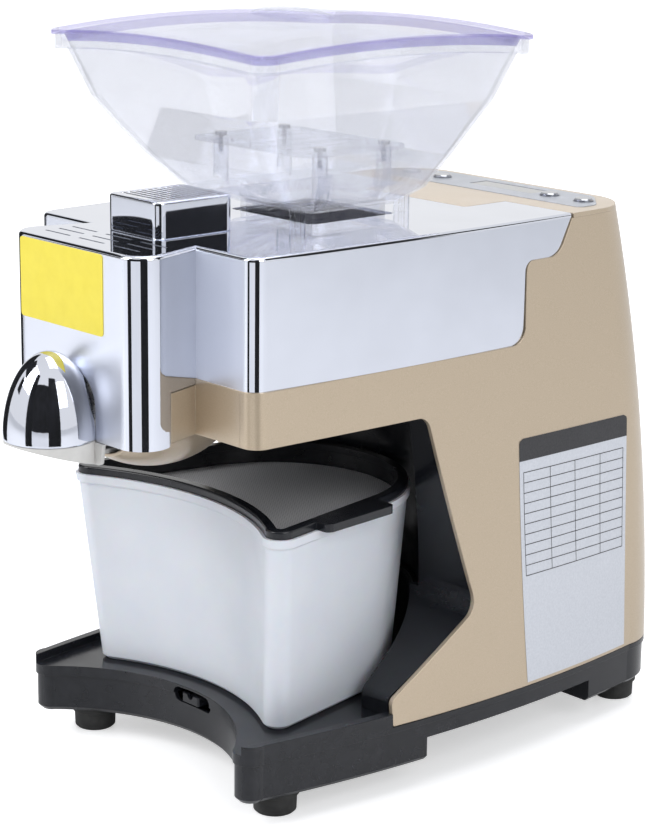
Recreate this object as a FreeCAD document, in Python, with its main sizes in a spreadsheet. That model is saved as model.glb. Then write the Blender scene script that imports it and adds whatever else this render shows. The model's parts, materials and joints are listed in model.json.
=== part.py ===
import FreeCAD
import Part
import Sketcher
import math
import os
import re
from FreeCAD import Placement, Rotation, Vector

# Screw oil press. Millimetres, +Z up, front of the machine towards -Y.
# The origin is the bottom centre of the whole machine.

os.makedirs("parts", exist_ok=True)
doc = FreeCAD.newDocument("screw_oil_press")

SIZES = {
    # Base: bowed sides, concave front
    "base_front": -129.0,
    "base_arc_depth": 42.0,
    "base_rear": 202.0,
    "base_front_half": 99.5,
    "base_mid_half": 114.0,
    "base_rear_half": 104.0,
    "base_mid_place": 46.0,
    "base_rear_radius": 36.0,
    "base_tip_radius": 11.0,
    "base_bottom": 15.0,
    "base_seam": 37.0,
    "base_floor": 43.0,
    "base_rim_height": 5.0,
    "base_rim_width": 4.5,
    "rim_clearance": 1.8,
    "tub_wall": 2.6,
    "tub_inset": 1.0,
    "tub_bridge_bottom": 28.5,
    "tub_front_end": -10.0,
    "tub_rear_start": 126.0,
    "hook_width": 15.0,
    "hook_pocket_width": 32.0,
    "hook_pocket_height": 9.0,
    "hook_pocket_depth": 7.0,
    # Feet
    "foot_radius": 11.8,
    "foot_collar_radius": 13.4,
    "foot_collar_height": 5.0,
    "foot_half_spacing": 82.0,
    "foot_front_place": -95.5,
    "foot_rear_place": 178.0,
    "foot_screw_radius": 2.0,
    "foot_screw_length": 11.0,
    # Gold body, three levels
    "shell_wall": 2.6,
    "gold_bottom": 40.7,
    "gold_front": -122.0,
    "gold_front_radius": 9.0,
    "gold_rear_radius": 36.0,
    "arm_level": 208.0,
    "arm_front_half": 95.5,
    "arm_mid_half": 99.5,
    "arm_rear_half": 99.0,
    "arm_rear": 190.0,
    "deck_level": 308.0,
    "deck_front_half": 94.5,
    "deck_mid_half": 98.5,
    "deck_rear_half": 96.0,
    "deck_rear": 169.0,
    "deck_thickness": 2.6,
    "deck_front": 111.0,
    "deck_tongue_front": 78.0,
    "deck_tongue_half": 43.0,
    "rear_cover_half": 60.0,
    "vent_slot_length": 34.0,
    "vent_slot_width": 3.0,
    "vent_pitch": 8.0,
    # Window of the container bay, seen from the side
    "bay_foot_front": -35.0,
    "bay_foot_top": 55.0,
    "bay_elbow_place": 31.0,
    "bay_elbow_height": 94.0,
    "bay_top_place": -2.0,
    "bay_corner_radius": 9.0,
    # Control panel
    "panel_half": 86.0,
    "panel_front": 128.0,
    "panel_rear": 164.0,
    "panel_thickness": 1.4,
    "panel_proud": 0.3,
    "window_left": -18.0,
    "window_right": 34.0,
    "window_front": 142.0,
    "window_rear": 157.0,
    "button_radius": 5.6,
    "button_height": 2.8,
    "button_gap": 0.35,
    "button_inner_place": 45.0,
    "button_outer_place": 72.0,
    "button_row": 146.0,
    # Chrome cover
    "chrome_wall": 1.8,
    "chrome_inset": 0.6,
    "chrome_bottom": 238.0,
    "chrome_rear": 73.0,
    "chrome_ear_bottom": 285.0,
    "chrome_ear_rear": 99.0,
    "chrome_corner_radius": 14.0,
    "chrome_edge_radius": 2.4,
    "nose_front": -167.0,
    "nose_front_half": 61.5,
    "nose_rear_half": 47.0,
    "nose_bottom": 206.0,
    "nose_step": -144.0,
    "nose_step_bottom": 235.0,
    "fit_gap": 0.6,
    "seat_gap": 0.1,
    "feed_hole_half_x": 35.0,
    "feed_hole_half_y": 31.5,
    "nose_slot_length": 22.0,
    "nose_slot_width": 1.6,
    "nose_slot_pitch": 8.8,
    # Cap on the cover
    "cap_half": 22.5,
    "cap_front": -127.0,
    "cap_rear": -75.5,
    "cap_height": 20.0,
    "cap_wall": 1.8,
    "cap_corner_radius": 5.0,
    "cap_edge_radius": 1.6,
    "cap_slot_width": 1.8,
    "cap_slot_pitch": 4.2,
    # Outlet at the nose
    "hood_radius": 25.0,
    "hood_reach": 14.7,
    "hood_height": 46.0,
    "hood_wall": 1.8,
    "chute_half": 27.0,
    "chute_bottom": 192.5,
    "chute_thickness": 2.4,
    # Press
    "axis_height": 222.0,
    "barrel_radius": 25.0,
    "barrel_bore": 16.0,
    "barrel_front": -160.0,
    "barrel_rear": 30.0,
    "barrel_flange_radius": 34.0,
    "barrel_flange_length": 8.0,
    "barrel_slot_width": 1.4,
    "barrel_slot_pitch": 5.0,
    "barrel_slot_start": -116.0,
    "screw_clearance": 0.4,
    "screw_core_front": 12.0,
    "screw_core_rear": 8.0,
    "screw_pitch": 24.0,
    "screw_flight_width": 5.0,
    "screw_tip": -176.0,
    "nozzle_radius": 17.5,
    "nozzle_length": 6.0,
    "nozzle_bore": 13.6,
    "collar_wall": 4.5,
    "collar_lip": 3.0,
    "heater_front": -66.0,
    "heater_length": 34.0,
    "heater_wall": 4.0,
    "heater_clearance": 0.3,
    "sensor_place": -26.5,
    "sensor_radius": 2.5,
    "sensor_height": 16.0,
    "guard_end_radius": 31.0,
    "guard_mid_radius": 41.0,
    "guard_front": -148.0,
    "guard_rear": -78.0,
    "guard_wall": 1.6,
    "guard_top": 213.2,
    # Feed
    "neck_half_x": 33.6,
    "neck_half_y": 30.2,
    "neck_top": 307.0,
    "neck_straight": 20.0,
    "neck_wall": 1.2,
    "neck_outlet_radius": 13.0,
    # Drive
    "gear_width": 11.0,
    "output_module": 1.5,
    "output_teeth": 72,
    "first_module": 1.0,
    "first_teeth": 80,
    "pinion_teeth": 16,
    "gear_backlash": 0.22,
    "gear_addendum": 0.8,
    "gear_dedendum": 1.15,
    "gearbox_front": 58.0,
    "gearbox_depth": 42.0,
    "gearbox_wall": 5.0,
    "gearbox_cover_thickness": 6.0,
    "gearbox_margin": 5.0,
    "shaft_radius": 8.0,
    "shaft_hex": 5.5,
    "layshaft_radius": 5.0,
    "motor_shaft_radius": 3.0,
    "bearing_outer_radius": 16.0,
    "bearing_width": 8.0,
    "running_gap": 0.4,
    "motor_radius": 37.0,
    "motor_wall": 2.6,
    "motor_length": 78.0,
    "rotor_gap": 1.2,
    "fan_radius": 30.0,
    "fan_length": 8.0,
    "stand_thickness": 3.0,
    # Hopper, levels from the spout up
    "spout_half_x": 30.6,
    "spout_half_y": 27.2,
    "spout_bottom": 292.0,
    "hopper_wall": 2.2,
    "hopper_floor": 316.0,
    "hopper_top": 404.0,
    "hopper_half": 91.0,
    "hopper_front": -114.5,
    "hopper_rear": 82.5,
    "hopper_radius": 13.0,
    "hopper_band": 8.0,
    "hopper_band_proud": 1.4,
    "lid_thickness": 2.2,
    "lid_proud": 2.0,
    "lid_sphere": 911.0,
    "lid_crown": 418.4,
    "lid_rib_height": 5.0,
    "lid_gap": 0.4,
    "grip_length": 64.0,
    "grip_width": 30.0,
    "grip_height": 4.0,
    "guard_plate_level": 347.0,
    "guard_plate_thickness": 2.0,
    "post_radius": 4.4,
    "post_half_x": 42.0,
    "post_front": -32.0,
    "post_rear": 15.0,
    "leg_radius": 4.6,
    "leg_half_x": 32.0,
    "leg_front": -39.0,
    "leg_rear": 38.5,
    # Oil container and strainer
    "tank_wall": 2.0,
    "tank_lip": 1.4,
    "tank_lip_height": 6.0,
    "tank_bottom": 43.3,
    "tank_top": 155.0,
    "tank_low_half": 85.0,
    "tank_low_front": -104.0,
    "tank_low_arc": -75.0,
    "tank_low_rear_radius": 68.0,
    "tank_top_half": 96.0,
    "tank_top_front": -113.0,
    "tank_top_arc": -79.0,
    "tank_top_rear_radius": 77.0,
    "tank_rear_centre": -28.0,
    "tank_corner": 8.5,
    "strainer_rim": 4.5,
    "strainer_gap": 0.5,
    "strainer_depth": 24.0,
    "strainer_mesh_level": 146.0,
    "mesh_thickness": 0.8,
    "tab_front": -72.0,
    "tab_rear": -18.0,
    "tab_reach": 9.0,
    "recess_gap": 7.0,
    "trough_radius": 31.5,
    "trough_wall": 2.0,
}

sheet = doc.addObject("Spreadsheet::Sheet", "Sizes")
for row, (alias, value) in enumerate(SIZES.items(), 1):
    sheet.set(f"A{row}", alias.replace("_", " "))
    sheet.set(f"B{row}", str(value))
    sheet.setAlias(f"B{row}", alias)
doc.recompute()


class Cells:
    """Reads a driving dimension from the sheet by its name."""

    def __getattr__(self, alias):
        return float(sheet.get(alias))


s = Cells()
NODES = []
UP = Vector(0, 0, 1)


def linked(text):
    """An expression in plain size names, with the sheet's name put before each."""
    return re.sub(r"[a-z_]+", lambda m: "Sizes." + m.group(0) if m.group(0) in SIZES else m.group(0), text)


def number(text):
    """The value of an expression in size names."""
    found = sheet.evalExpression(linked(text))
    return float(getattr(found, "Value", found))


def keep(thing, name):
    """Marks an object as a sub-part of the machine."""
    thing.Label = name
    NODES.append(thing)
    return thing


def shaped(name, shape):
    """A sub-part whose shape is worked out in code from the sheet."""
    feature = doc.addObject("Part::Feature", name)
    feature.Shape = shape
    return keep(feature, name)


# Bodies from bound sketches


def origin_plane(body, role):
    return next(item for item in body.Origin.OriginFeatures if item.Role == role)


def outline_sketch(body, role, points, offset="0", tag="outline"):
    """A closed sketch of straight lines; each corner is bound to two expressions."""
    sketch = body.newObject("Sketcher::SketchObject", f"{body.Name}_{tag}")
    sketch.AttachmentSupport = [(origin_plane(body, role), "")]
    sketch.MapMode = "FlatFace"
    sketch.setExpression("AttachmentOffset.Base.z", linked(offset))
    spots = [Vector(number(u), number(v), 0) for u, v in points]
    count = len(spots)
    for index, spot in enumerate(spots):
        sketch.addGeometry(Part.LineSegment(spot, spots[(index + 1) % count]), False)
    for index in range(count):
        sketch.addConstraint(Sketcher.Constraint("Coincident", index, 2, (index + 1) % count, 1))
    for index, corner in enumerate(points):
        for kind, text in zip(("DistanceX", "DistanceY"), corner):
            place = sketch.addConstraint(Sketcher.Constraint(kind, -1, 1, index, 1, number(text)))
            sketch.setExpression(f"Constraints[{place}]", linked(text))
    return sketch


def turned(name, points, base=("0", "0", "0"), along_y=False):
    """A revolved body; the outline is given as radius and height along the axis."""
    body = doc.addObject("PartDesign::Body", name)
    sketch = outline_sketch(body, "XZ_Plane", points)
    turn = body.newObject("PartDesign::Revolution", name + "_turn")
    turn.Profile = sketch
    turn.ReferenceAxis = (sketch, ["V_Axis"])
    turn.Angle = 360
    body.Tip = turn
    place_body(body, base, along_y)
    return keep(body, name)


def padded(name, role, points, start, length, base=("0", "0", "0")):
    """An extruded body of a polygon on one of its origin planes."""
    body = doc.addObject("PartDesign::Body", name)
    sketch = outline_sketch(body, role, points, start)
    pad = body.newObject("PartDesign::Pad", name + "_pad")
    pad.Profile = sketch
    pad.setExpression("Length", linked(length))
    body.Tip = pad
    place_body(body, base, False)
    return keep(body, name)


def place_body(body, base, along_y):
    if along_y:
        body.Placement = Placement(Vector(), Rotation(Vector(1, 0, 0), -90))
    for letter, text in zip("xyz", base):
        body.setExpression(f"Placement.Base.{letter}", linked(text))


def rectangle(x_low, x_high, y_low, y_high):
    return [(x_low, y_low), (x_high, y_low), (x_high, y_high), (x_low, y_high)]


# Shapes worked out in code


def lift(plane, u, v, level):
    """A point of a drawing plane at a level of the third axis."""
    return {"xy": Vector(u, v, level), "xz": Vector(u, level, v), "yz": Vector(level, u, v)}[plane]


def rounded_wire(points, plane="xy", level=0.0):
    """A closed wire through corners given as (u, v, radius)."""
    count = len(points)
    spots = [lift(plane, u, v, level) for u, v, _ in points]
    edges = []
    starts = []
    ends = []
    for index, (_, _, radius) in enumerate(points):
        here = spots[index]
        back = (spots[index - 1] - here).normalize()
        ahead = (spots[(index + 1) % count] - here).normalize()
        half = back.getAngle(ahead) / 2
        if radius <= 0 or half > math.pi / 2 - 1e-3:
            starts.append(here)
            ends.append(here)
            edges.append(None)
            continue
        reach = radius / math.tan(half)
        middle = (back + ahead).normalize() * (radius / math.sin(half) - radius)
        starts.append(here + back * reach)
        ends.append(here + ahead * reach)
        edges.append(Part.Arc(starts[-1], here + middle, ends[-1]).toShape())
    chain = []
    for index in range(count):
        if edges[index] is not None:
            chain.append(edges[index])
        following = starts[(index + 1) % count]
        if (following - ends[index]).Length > 1e-6:
            chain.append(Part.LineSegment(ends[index], following).toShape())
    return Part.Wire(chain)


def prism(wire, length):
    """Extrudes a flat wire along its own plane's normal, towards the positive axis."""
    face = Part.Face(wire)
    normal = face.normalAt(0, 0)
    steer = Vector(abs(normal.x), abs(normal.y), abs(normal.z))
    return face.extrude(steer * length)


def box(x_low, x_high, y_low, y_high, z_low, z_high):
    return Part.makeBox(x_high - x_low, y_high - y_low, z_high - z_low, Vector(x_low, y_low, z_low))


def rod(start, direction, radius, length):
    return Part.makeCylinder(radius, length, Vector(*start), Vector(*direction))


def arc(first, middle, last):
    return Part.Arc(Vector(*first), Vector(*middle), Vector(*last)).toShape()


def line(first, last):
    return Part.LineSegment(Vector(*first), Vector(*last)).toShape()


def mirrored(shape):
    """The same shape on the other side of the machine's middle plane."""
    return shape.mirror(Vector(), Vector(1, 0, 0))


def joined(shapes):
    return shapes[0].fuse(shapes[1:]).removeSplitter()


def quarter(x_centre, y_centre, radius, from_side, level):
    """A quarter arc in plan, from the side (1 or -1) of X round to the rear or back."""
    slant = radius * math.sqrt(0.5)
    return ((x_centre + from_side * slant), (y_centre + slant), level)


# Base


def base_wire(inset, level):
    """Plan of the base: concave front, two rounded tips, bowed sides, rounded rear."""
    front = s.base_front
    tip = s.base_tip_radius
    half = s.base_front_half
    mid = s.base_mid_half
    back = s.base_rear_half
    rear = s.base_rear
    radius = s.base_rear_radius
    inner = half - 1.6 * tip
    inner_place = front + 0.42 * tip
    corner = half - 0.55 * tip
    straight = back - radius
    turn = rear - radius
    outline = Part.Wire([
        arc((-inner, inner_place, level), (0, front + s.base_arc_depth, level), (inner, inner_place, level)),
        arc((inner, inner_place, level), (corner, front, level), (half, front + tip, level)),
        arc((half, front + tip, level), (mid, s.base_mid_place, level), (back, turn, level)),
        arc((back, turn, level), quarter(straight, turn, radius, 1, level), (straight, rear, level)),
        line((straight, rear, level), (-straight, rear, level)),
        arc((-straight, rear, level), quarter(-straight, turn, radius, -1, level), (-back, turn, level)),
        arc((-back, turn, level), (-mid, s.base_mid_place, level), (-half, front + tip, level)),
        arc((-half, front + tip, level), (-corner, front, level), (-inner, inner_place, level)),
    ])
    return outline.makeOffset2D(-inset) if inset else outline


def foot_places():
    """Label and centre of each foot."""
    sides = {"left": -s.foot_half_spacing, "right": s.foot_half_spacing}
    rows = {"front": s.foot_front_place, "rear": s.foot_rear_place}
    return {f"{row}_{side}": (x, y) for row, y in rows.items() for side, x in sides.items()}


def make_base_tray():
    """Upper half of the base: floor, side rims, and a step that the gold sides stand round."""
    top = s.base_floor + s.base_rim_height
    step = s.gold_bottom - 0.3
    lower = prism(base_wire(0, s.base_seam), step - s.base_seam)
    front_part = prism(base_wire(0, step), top - step)
    front_part = front_part.common(box(-200, 200, -200, s.bay_foot_front - s.fit_gap, 0, 100))
    inner_part = prism(base_wire(s.shell_wall + s.rim_clearance, step), top - step)
    inner_part = inner_part.common(box(-200, 200, s.bay_foot_front - 1, 300, 0, 100))
    tray = joined([lower, front_part, inner_part])
    hollow = prism(base_wire(s.base_rim_width + s.shell_wall, s.base_floor), s.base_rim_height + 1)
    tray = tray.cut(hollow).cut(hollow.translated(Vector(0, -2 * s.base_rim_width - 8, 0)))
    under = prism(base_wire(s.tub_wall + s.tub_inset + 2, s.base_seam - 1), step - 3 - s.base_seam + 1)
    tray = tray.cut(under)
    tray = tray.cut(hook_pocket())
    for x, y in foot_places().values():
        tray = tray.fuse(rod((x, y, s.base_seam - 1), (0, 0, 1), 6.5, 5))
        tray = tray.cut(rod((x, y, s.base_seam - 2), (0, 0, 1), s.foot_screw_radius, 6))
    shaped("base_tray", tray.removeSplitter())


def hook_pocket():
    """The shallow recess at the middle of the concave front."""
    front = s.base_front + s.base_arc_depth
    half = s.hook_pocket_width / 2
    low = s.base_floor - s.hook_pocket_height - 1.5
    outline = [(-half, low, 4), (half, low, 4), (half, low + s.hook_pocket_height, 4),
               (-half, low + s.hook_pocket_height, 4)]
    return prism(rounded_wire(outline, "xz", front - 12), 12 + s.hook_pocket_depth)


def make_tray_hook():
    """Small forward tongue with an upturned end, for hanging a residue bowl."""
    front = s.base_front + s.base_arc_depth
    seat = front + s.hook_pocket_depth
    low = s.base_floor - s.hook_pocket_height
    half = s.hook_width / 2
    tongue = box(-half, half, seat - 9, seat, low + 1, low + 3)
    lip = box(-half, half, seat - 9, seat - 7, low + 1, low + 6)
    lip = lip.cut(rod((0, seat - 10, low + 6), (0, 1, 0), half / 3, 4))
    side = rounded_wire([(-half, seat - 9, 1.5), (half, seat - 9, 1.5), (half, seat, 0), (-half, seat, 0)])
    keep_in = prism(side, 100)
    shaped("tray_hook", joined([tongue, lip]).common(keep_in))


def make_base_tub():
    """Lower half of the base, deep under the front and under the motor."""
    height = s.base_seam - s.base_bottom
    slope = 2.5
    foot_wire = base_wire(s.tub_inset + slope, s.base_bottom)
    side_wire = base_wire(s.tub_inset, s.base_bottom + slope)
    outer = prism(side_wire, height - slope).fuse(Part.makeLoft([foot_wire, side_wire], True, True))
    bridge = box(-200, 200, s.tub_front_end, s.tub_rear_start, 0, s.tub_bridge_bottom)
    outer = outer.cut(bridge)
    inner = prism(base_wire(s.tub_inset + s.tub_wall, s.base_bottom + s.tub_wall), height)
    wall = s.tub_wall
    lifted = box(-200, 200, s.tub_front_end - wall, s.tub_rear_start + wall, 0, s.tub_bridge_bottom + wall)
    tub = outer.cut(inner.cut(lifted))
    tub = tub.cut(hook_pocket())
    for x, y in foot_places().values():
        boss = rod((x, y, s.base_bottom + 1), (0, 0, 1), 6.5, s.base_seam - s.base_bottom - 2)
        tub = tub.fuse(boss)
        tub = tub.cut(rod((x, y, s.base_bottom - 1), (0, 0, 1), s.foot_screw_radius, height + 4))
    shaped("base_tub", tub.removeSplitter())


def make_feet():
    """Four rubber feet with a wide collar and a recess for the screw head."""
    collar = "base_bottom - foot_collar_height"
    shape = [("foot_screw_radius", "6"), ("foot_screw_radius * 2.4", "6"), ("foot_screw_radius * 2.4", "0"),
             ("foot_radius - 1.2", "0"), ("foot_radius", "1.2"), ("foot_radius + 0.3", collar),
             ("foot_collar_radius", collar + " + 0.6"), ("foot_collar_radius", "base_bottom"),
             ("foot_screw_radius", "base_bottom")]
    for label in foot_places():
        row, side = label.split("_")
        sign = "-" if side == "left" else ""
        turned(f"foot_{label}", shape, (f"{sign}foot_half_spacing", f"foot_{row}_place", "0"))
    screws = []
    for x, y in foot_places().values():
        head = rod((x, y, 3.2), (0, 0, 1), s.foot_screw_radius * 1.9, 2.8)
        shank = rod((x, y, 6), (0, 0, 1), s.foot_screw_radius, s.foot_screw_length + 12)
        screws.append(head.fuse(shank))
    shaped("foot_screws", Part.makeCompound(screws))


# Gold body


def level_wire(level, inset):
    """Plan of the gold body at one of its three levels."""
    front_half, mid_half, rear_half, rear = {
        "low": (s.base_front_half, s.base_mid_half, s.base_rear_half, s.base_rear),
        "arm": (s.arm_front_half, s.arm_mid_half, s.arm_rear_half, s.arm_rear),
        "deck": (s.deck_front_half, s.deck_mid_half, s.deck_rear_half, s.deck_rear),
    }[level]
    height = {"low": s.gold_bottom, "arm": s.arm_level, "deck": s.deck_level}[level]
    front = s.gold_front + inset
    fillet = s.gold_front_radius - inset
    radius = s.gold_rear_radius - inset
    half, mid, back, rear = front_half - inset, mid_half - inset, rear_half - inset, rear - inset
    slant = fillet * (1 - math.sqrt(0.5))
    pieces = [
        line((fillet - half, front, height), (half - fillet, front, height)),
        arc((half - fillet, front, height), (half - slant, front + slant, height), (half, front + fillet, height)),
        arc((half, front + fillet, height), (mid, s.base_mid_place, height), (back, rear - radius, height)),
        arc((back, rear - radius, height), quarter(back - radius, rear - radius, radius, 1, height),
            (back - radius, rear, height)),
        line((back - radius, rear, height), (radius - back, rear, height)),
        arc((radius - back, rear, height), quarter(radius - back, rear - radius, radius, -1, height),
            (-back, rear - radius, height)),
        arc((-back, rear - radius, height), (-mid, s.base_mid_place, height), (-half, front + fillet, height)),
        arc((-half, front + fillet, height), (slant - half, front + slant, height),
            (fillet - half, front, height)),
    ]
    return Part.Wire(pieces)


def body_block(inset):
    """Solid block of the gold body, or of its inside when inset."""
    wires = [level_wire(level, inset) for level in ("low", "arm", "deck")]
    return Part.makeLoft(wires, True, False)


def side_outline(gap=0.0):
    """The C shape of the gold body seen from the side, as (y, z, radius)."""
    return [
        (s.gold_front - 30, s.chrome_bottom - gap, 0),
        (s.chrome_rear + gap, s.chrome_bottom - gap, 10),
        (s.chrome_rear + gap, s.chrome_ear_bottom - gap, 6),
        (s.chrome_ear_rear + gap, s.chrome_ear_bottom - gap, 12),
        (s.deck_front + gap, s.deck_level, 0),
        (s.base_rear + 40, s.deck_level, 0),
        (s.base_rear + 40, s.gold_bottom, 0),
        (s.bay_foot_front, s.gold_bottom, 1),
        (s.bay_foot_front, s.bay_foot_top, 5),
        (s.bay_elbow_place, s.bay_elbow_height, 12),
        (s.bay_top_place, s.arm_level, s.bay_corner_radius),
        (s.gold_front - 30, s.arm_level, 0),
    ]


def profile_block(gap=0.0, x_low=-130.0, x_high=130.0):
    return prism(rounded_wire(side_outline(gap), "yz", x_low), x_high - x_low)


def gold_shell():
    """The thin gold skin before it is parted into its pieces."""
    inner = body_block(s.shell_wall).common(box(-200, 200, -200, 300, 0, s.deck_level - s.deck_thickness))
    return body_block(0).cut(inner)


def seat_level():
    return s.deck_level - s.deck_thickness


def make_gold_body(shell):
    """Side panels, rear cover, arm front and deck, all cut from one skin."""
    inset = s.gold_front + 7
    sides = shell.common(profile_block()).common(box(-200, 200, -200, 300, 0, seat_level()))
    rear_zone = box(-s.rear_cover_half, s.rear_cover_half, s.base_mid_place, 300, 0, 400)
    front_zone = box(-s.arm_front_half + 12, s.arm_front_half - 12, -200, inset, 0, 400)
    panels = sides.cut(rear_zone).cut(front_zone)
    for name, x_low in (("side_panel_right", 0), ("side_panel_left", -200)):
        half = panels.common(box(x_low, x_low + 200, -250, 300, 0, 400))
        shaped(name, half)
    make_rear_cover(sides.common(rear_zone))
    make_arm_front(sides.common(front_zone))
    make_deck(shell)


def rear_wall(height):
    """Where the outer face of the rear wall stands at a height."""
    low, mid, high = (s.gold_bottom, s.base_rear), (s.arm_level, s.arm_rear), (s.deck_level, s.deck_rear)
    probe = body_block(0).common(Part.makeLine(Vector(0, 0, height), Vector(0, 400, height)))
    reach = max(vertex.Point.y for vertex in probe.Vertexes)
    return min(max(reach, min(low[1], mid[1], high[1])), max(low[1], mid[1], high[1]))


def make_rear_cover(blank):
    """Gold back wall with rows of vent slots and the openings of inlet and switch."""
    cover = blank
    rows = 9
    first = s.arm_level - 40
    for row in range(rows):
        height = first - row * s.vent_pitch
        for side in (-1, 1):
            centre = side * (s.vent_slot_length / 2 + 5)
            low, high = centre - s.vent_slot_length / 2, centre + s.vent_slot_length / 2
            outline = [(low, height, 1.4), (high, height, 1.4), (high, height + s.vent_slot_width, 1.4),
                       (low, height + s.vent_slot_width, 1.4)]
            cover = cover.cut(prism(rounded_wire(outline, "xz", s.base_mid_place), 200))
    cover = cover.cut(socket_hole()).cut(switch_hole())
    for place in cover_screw_places():
        cover = cover.cut(cover_screw(place))
    shaped("rear_cover", cover)


def socket_hole():
    return box(22, 50, s.arm_rear - 30, s.base_rear + 5, 62, 84)


def switch_hole():
    return box(-48, -26, s.arm_rear - 30, s.base_rear + 5, 62, 84)


def cover_screw_places():
    return [(side * (s.rear_cover_half - 7), height) for side in (-1, 1) for height in (54, s.deck_level - 24)]


def cover_screw(place):
    """A pan head screw through the rear wall, square to it in plan."""
    x, height = place
    wall = rear_wall(height)
    head = rod((x, wall - 1.0, height), (0, 1, 0), 3.2, 2.0)
    shank = rod((x, wall - 9, height), (0, 1, 0), 1.6, 8.0)
    return head.fuse(shank)


def make_cover_screws():
    shaped("rear_cover_screws", Part.makeCompound([cover_screw(place) for place in cover_screw_places()]))


def make_arm_front(blank):
    """Gold wall at the front of the arm, with cheeks under the nose of the cover."""
    low = s.nose_bottom + 1.5
    high = s.nose_step_bottom - s.fit_gap
    front = s.nose_step + s.fit_gap
    taper = (s.nose_front_half - s.nose_rear_half) / (s.gold_front - s.nose_front)
    rear_x = s.nose_rear_half - taper * s.shell_wall
    front_x = s.nose_rear_half + taper * (s.gold_front - front)
    thick = s.shell_wall
    plan = [(rear_x, s.gold_front + thick, 0), (front_x, front, 0), (front_x - thick, front, 0),
            (rear_x - thick, s.gold_front + thick, 0)]
    cheek = prism(rounded_wire(plan, "xy", low), high - low)
    wall = joined([blank, cheek, mirrored(cheek)])
    wall = wall.cut(rod((0, -250, s.axis_height), (0, 1, 0), s.guard_mid_radius + 1.2, 300))
    shaped("arm_front_right", wall.common(box(0, 200, -250, 0, 0, 400)))
    shaped("arm_front_left", wall.common(box(-200, 0, -250, 0, 0, 400)))


def make_deck(shell):
    """Gold top with a tongue towards the hopper and a recess for the control panel."""
    slab = body_block(0).common(box(-200, 200, s.deck_tongue_front, 300, seat_level(), s.deck_level + 1))
    tongue = [(-s.deck_tongue_half, s.deck_tongue_front, 3), (s.deck_tongue_half, s.deck_tongue_front, 3),
              (s.deck_tongue_half, s.deck_front + 2, 0), (-s.deck_tongue_half, s.deck_front + 2, 0)]
    zone = joined([prism(rounded_wire(tongue, "xy", seat_level()), s.deck_thickness),
                   box(-200, 200, s.deck_front, 300, seat_level(), s.deck_level)])
    deck = slab.common(zone)
    deck = deck.cut(panel_block(s.deck_level - s.panel_thickness, 10))
    for name, x in button_places().items():
        deck = deck.cut(rod((x, s.button_row, 0), (0, 0, 1), s.button_radius + s.button_gap, 400))
    window = box(s.window_left + 3, s.window_right - 3, s.window_front + 3, s.window_rear - 3, 0, 400)
    shaped("deck_cover", deck.cut(window))


def panel_block(low, height):
    """Plan of the control panel, its rear corners following the deck."""
    half = s.panel_half
    rear = s.panel_rear
    points = [(-half, s.panel_front, 4), (half, s.panel_front, 4), (half, rear - 22, 10),
              (half - 22, rear, 14), (22 - half, rear, 14), (-half, rear - 22, 10)]
    return prism(rounded_wire(points, "xy", low), height)


def button_places():
    return {"button_1": -s.button_outer_place, "button_2": -s.button_inner_place,
            "button_3": s.button_inner_place, "button_4": s.button_outer_place}


def make_control_panel():
    low = s.deck_level - s.panel_thickness
    panel = panel_block(low, s.panel_thickness + s.panel_proud)
    for x in button_places().values():
        panel = panel.cut(rod((x, s.button_row, 0), (0, 0, 1), s.button_radius + s.button_gap, 400))
    window = box(s.window_left, s.window_right, s.window_front, s.window_rear, 0, 400)
    shaped("control_panel", panel.cut(window))
    padded("display_window", "XY_Plane",
           rectangle("window_left", "window_right", "window_front", "window_rear"),
           "deck_level - panel_thickness", "panel_thickness + 0.1")
    shape = [("0", "0"), ("button_radius + 1.6", "0"), ("button_radius + 1.6", "1"), ("button_radius", "1"),
             ("button_radius", "button_height + 2.2"), ("button_radius - 0.8", "button_height + 3"),
             ("0", "button_height + 3")]
    for name, x in button_places().items():
        place = "outer" if name[-1] in "14" else "inner"
        sign = "-" if x < 0 else ""
        turned(name, shape, (f"{sign}button_{place}_place", "button_row",
                             "deck_level - deck_thickness - 1.1"))


def make_circuit_board():
    """Board under the deck with standoffs, a display module and the buttons' switches."""
    top = seat_level()
    level = top - 14
    board = box(-84, 84, 128, 160, level - 1.6, level)
    parts = [board]
    for x in (-58, 0.5, 58):
        parts.append(rod((x, 131.5, level), (0, 0, 1), 2.4, top - level))
    parts.append(box(s.window_left + 2, s.window_right - 2, s.window_front + 1, s.window_rear - 1, level, top - 1.5))
    for x in button_places().values():
        parts.append(box(x - 4, x + 4, s.button_row - 4, s.button_row + 4, level, level + 6.5))
    for x in (-66, -22, 20, 64):
        parts.append(rod((x, 152, level - 12), (0, 0, 1), 5, 10.4))
    shaped("circuit_board", joined(parts))


# Inner covers


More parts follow.
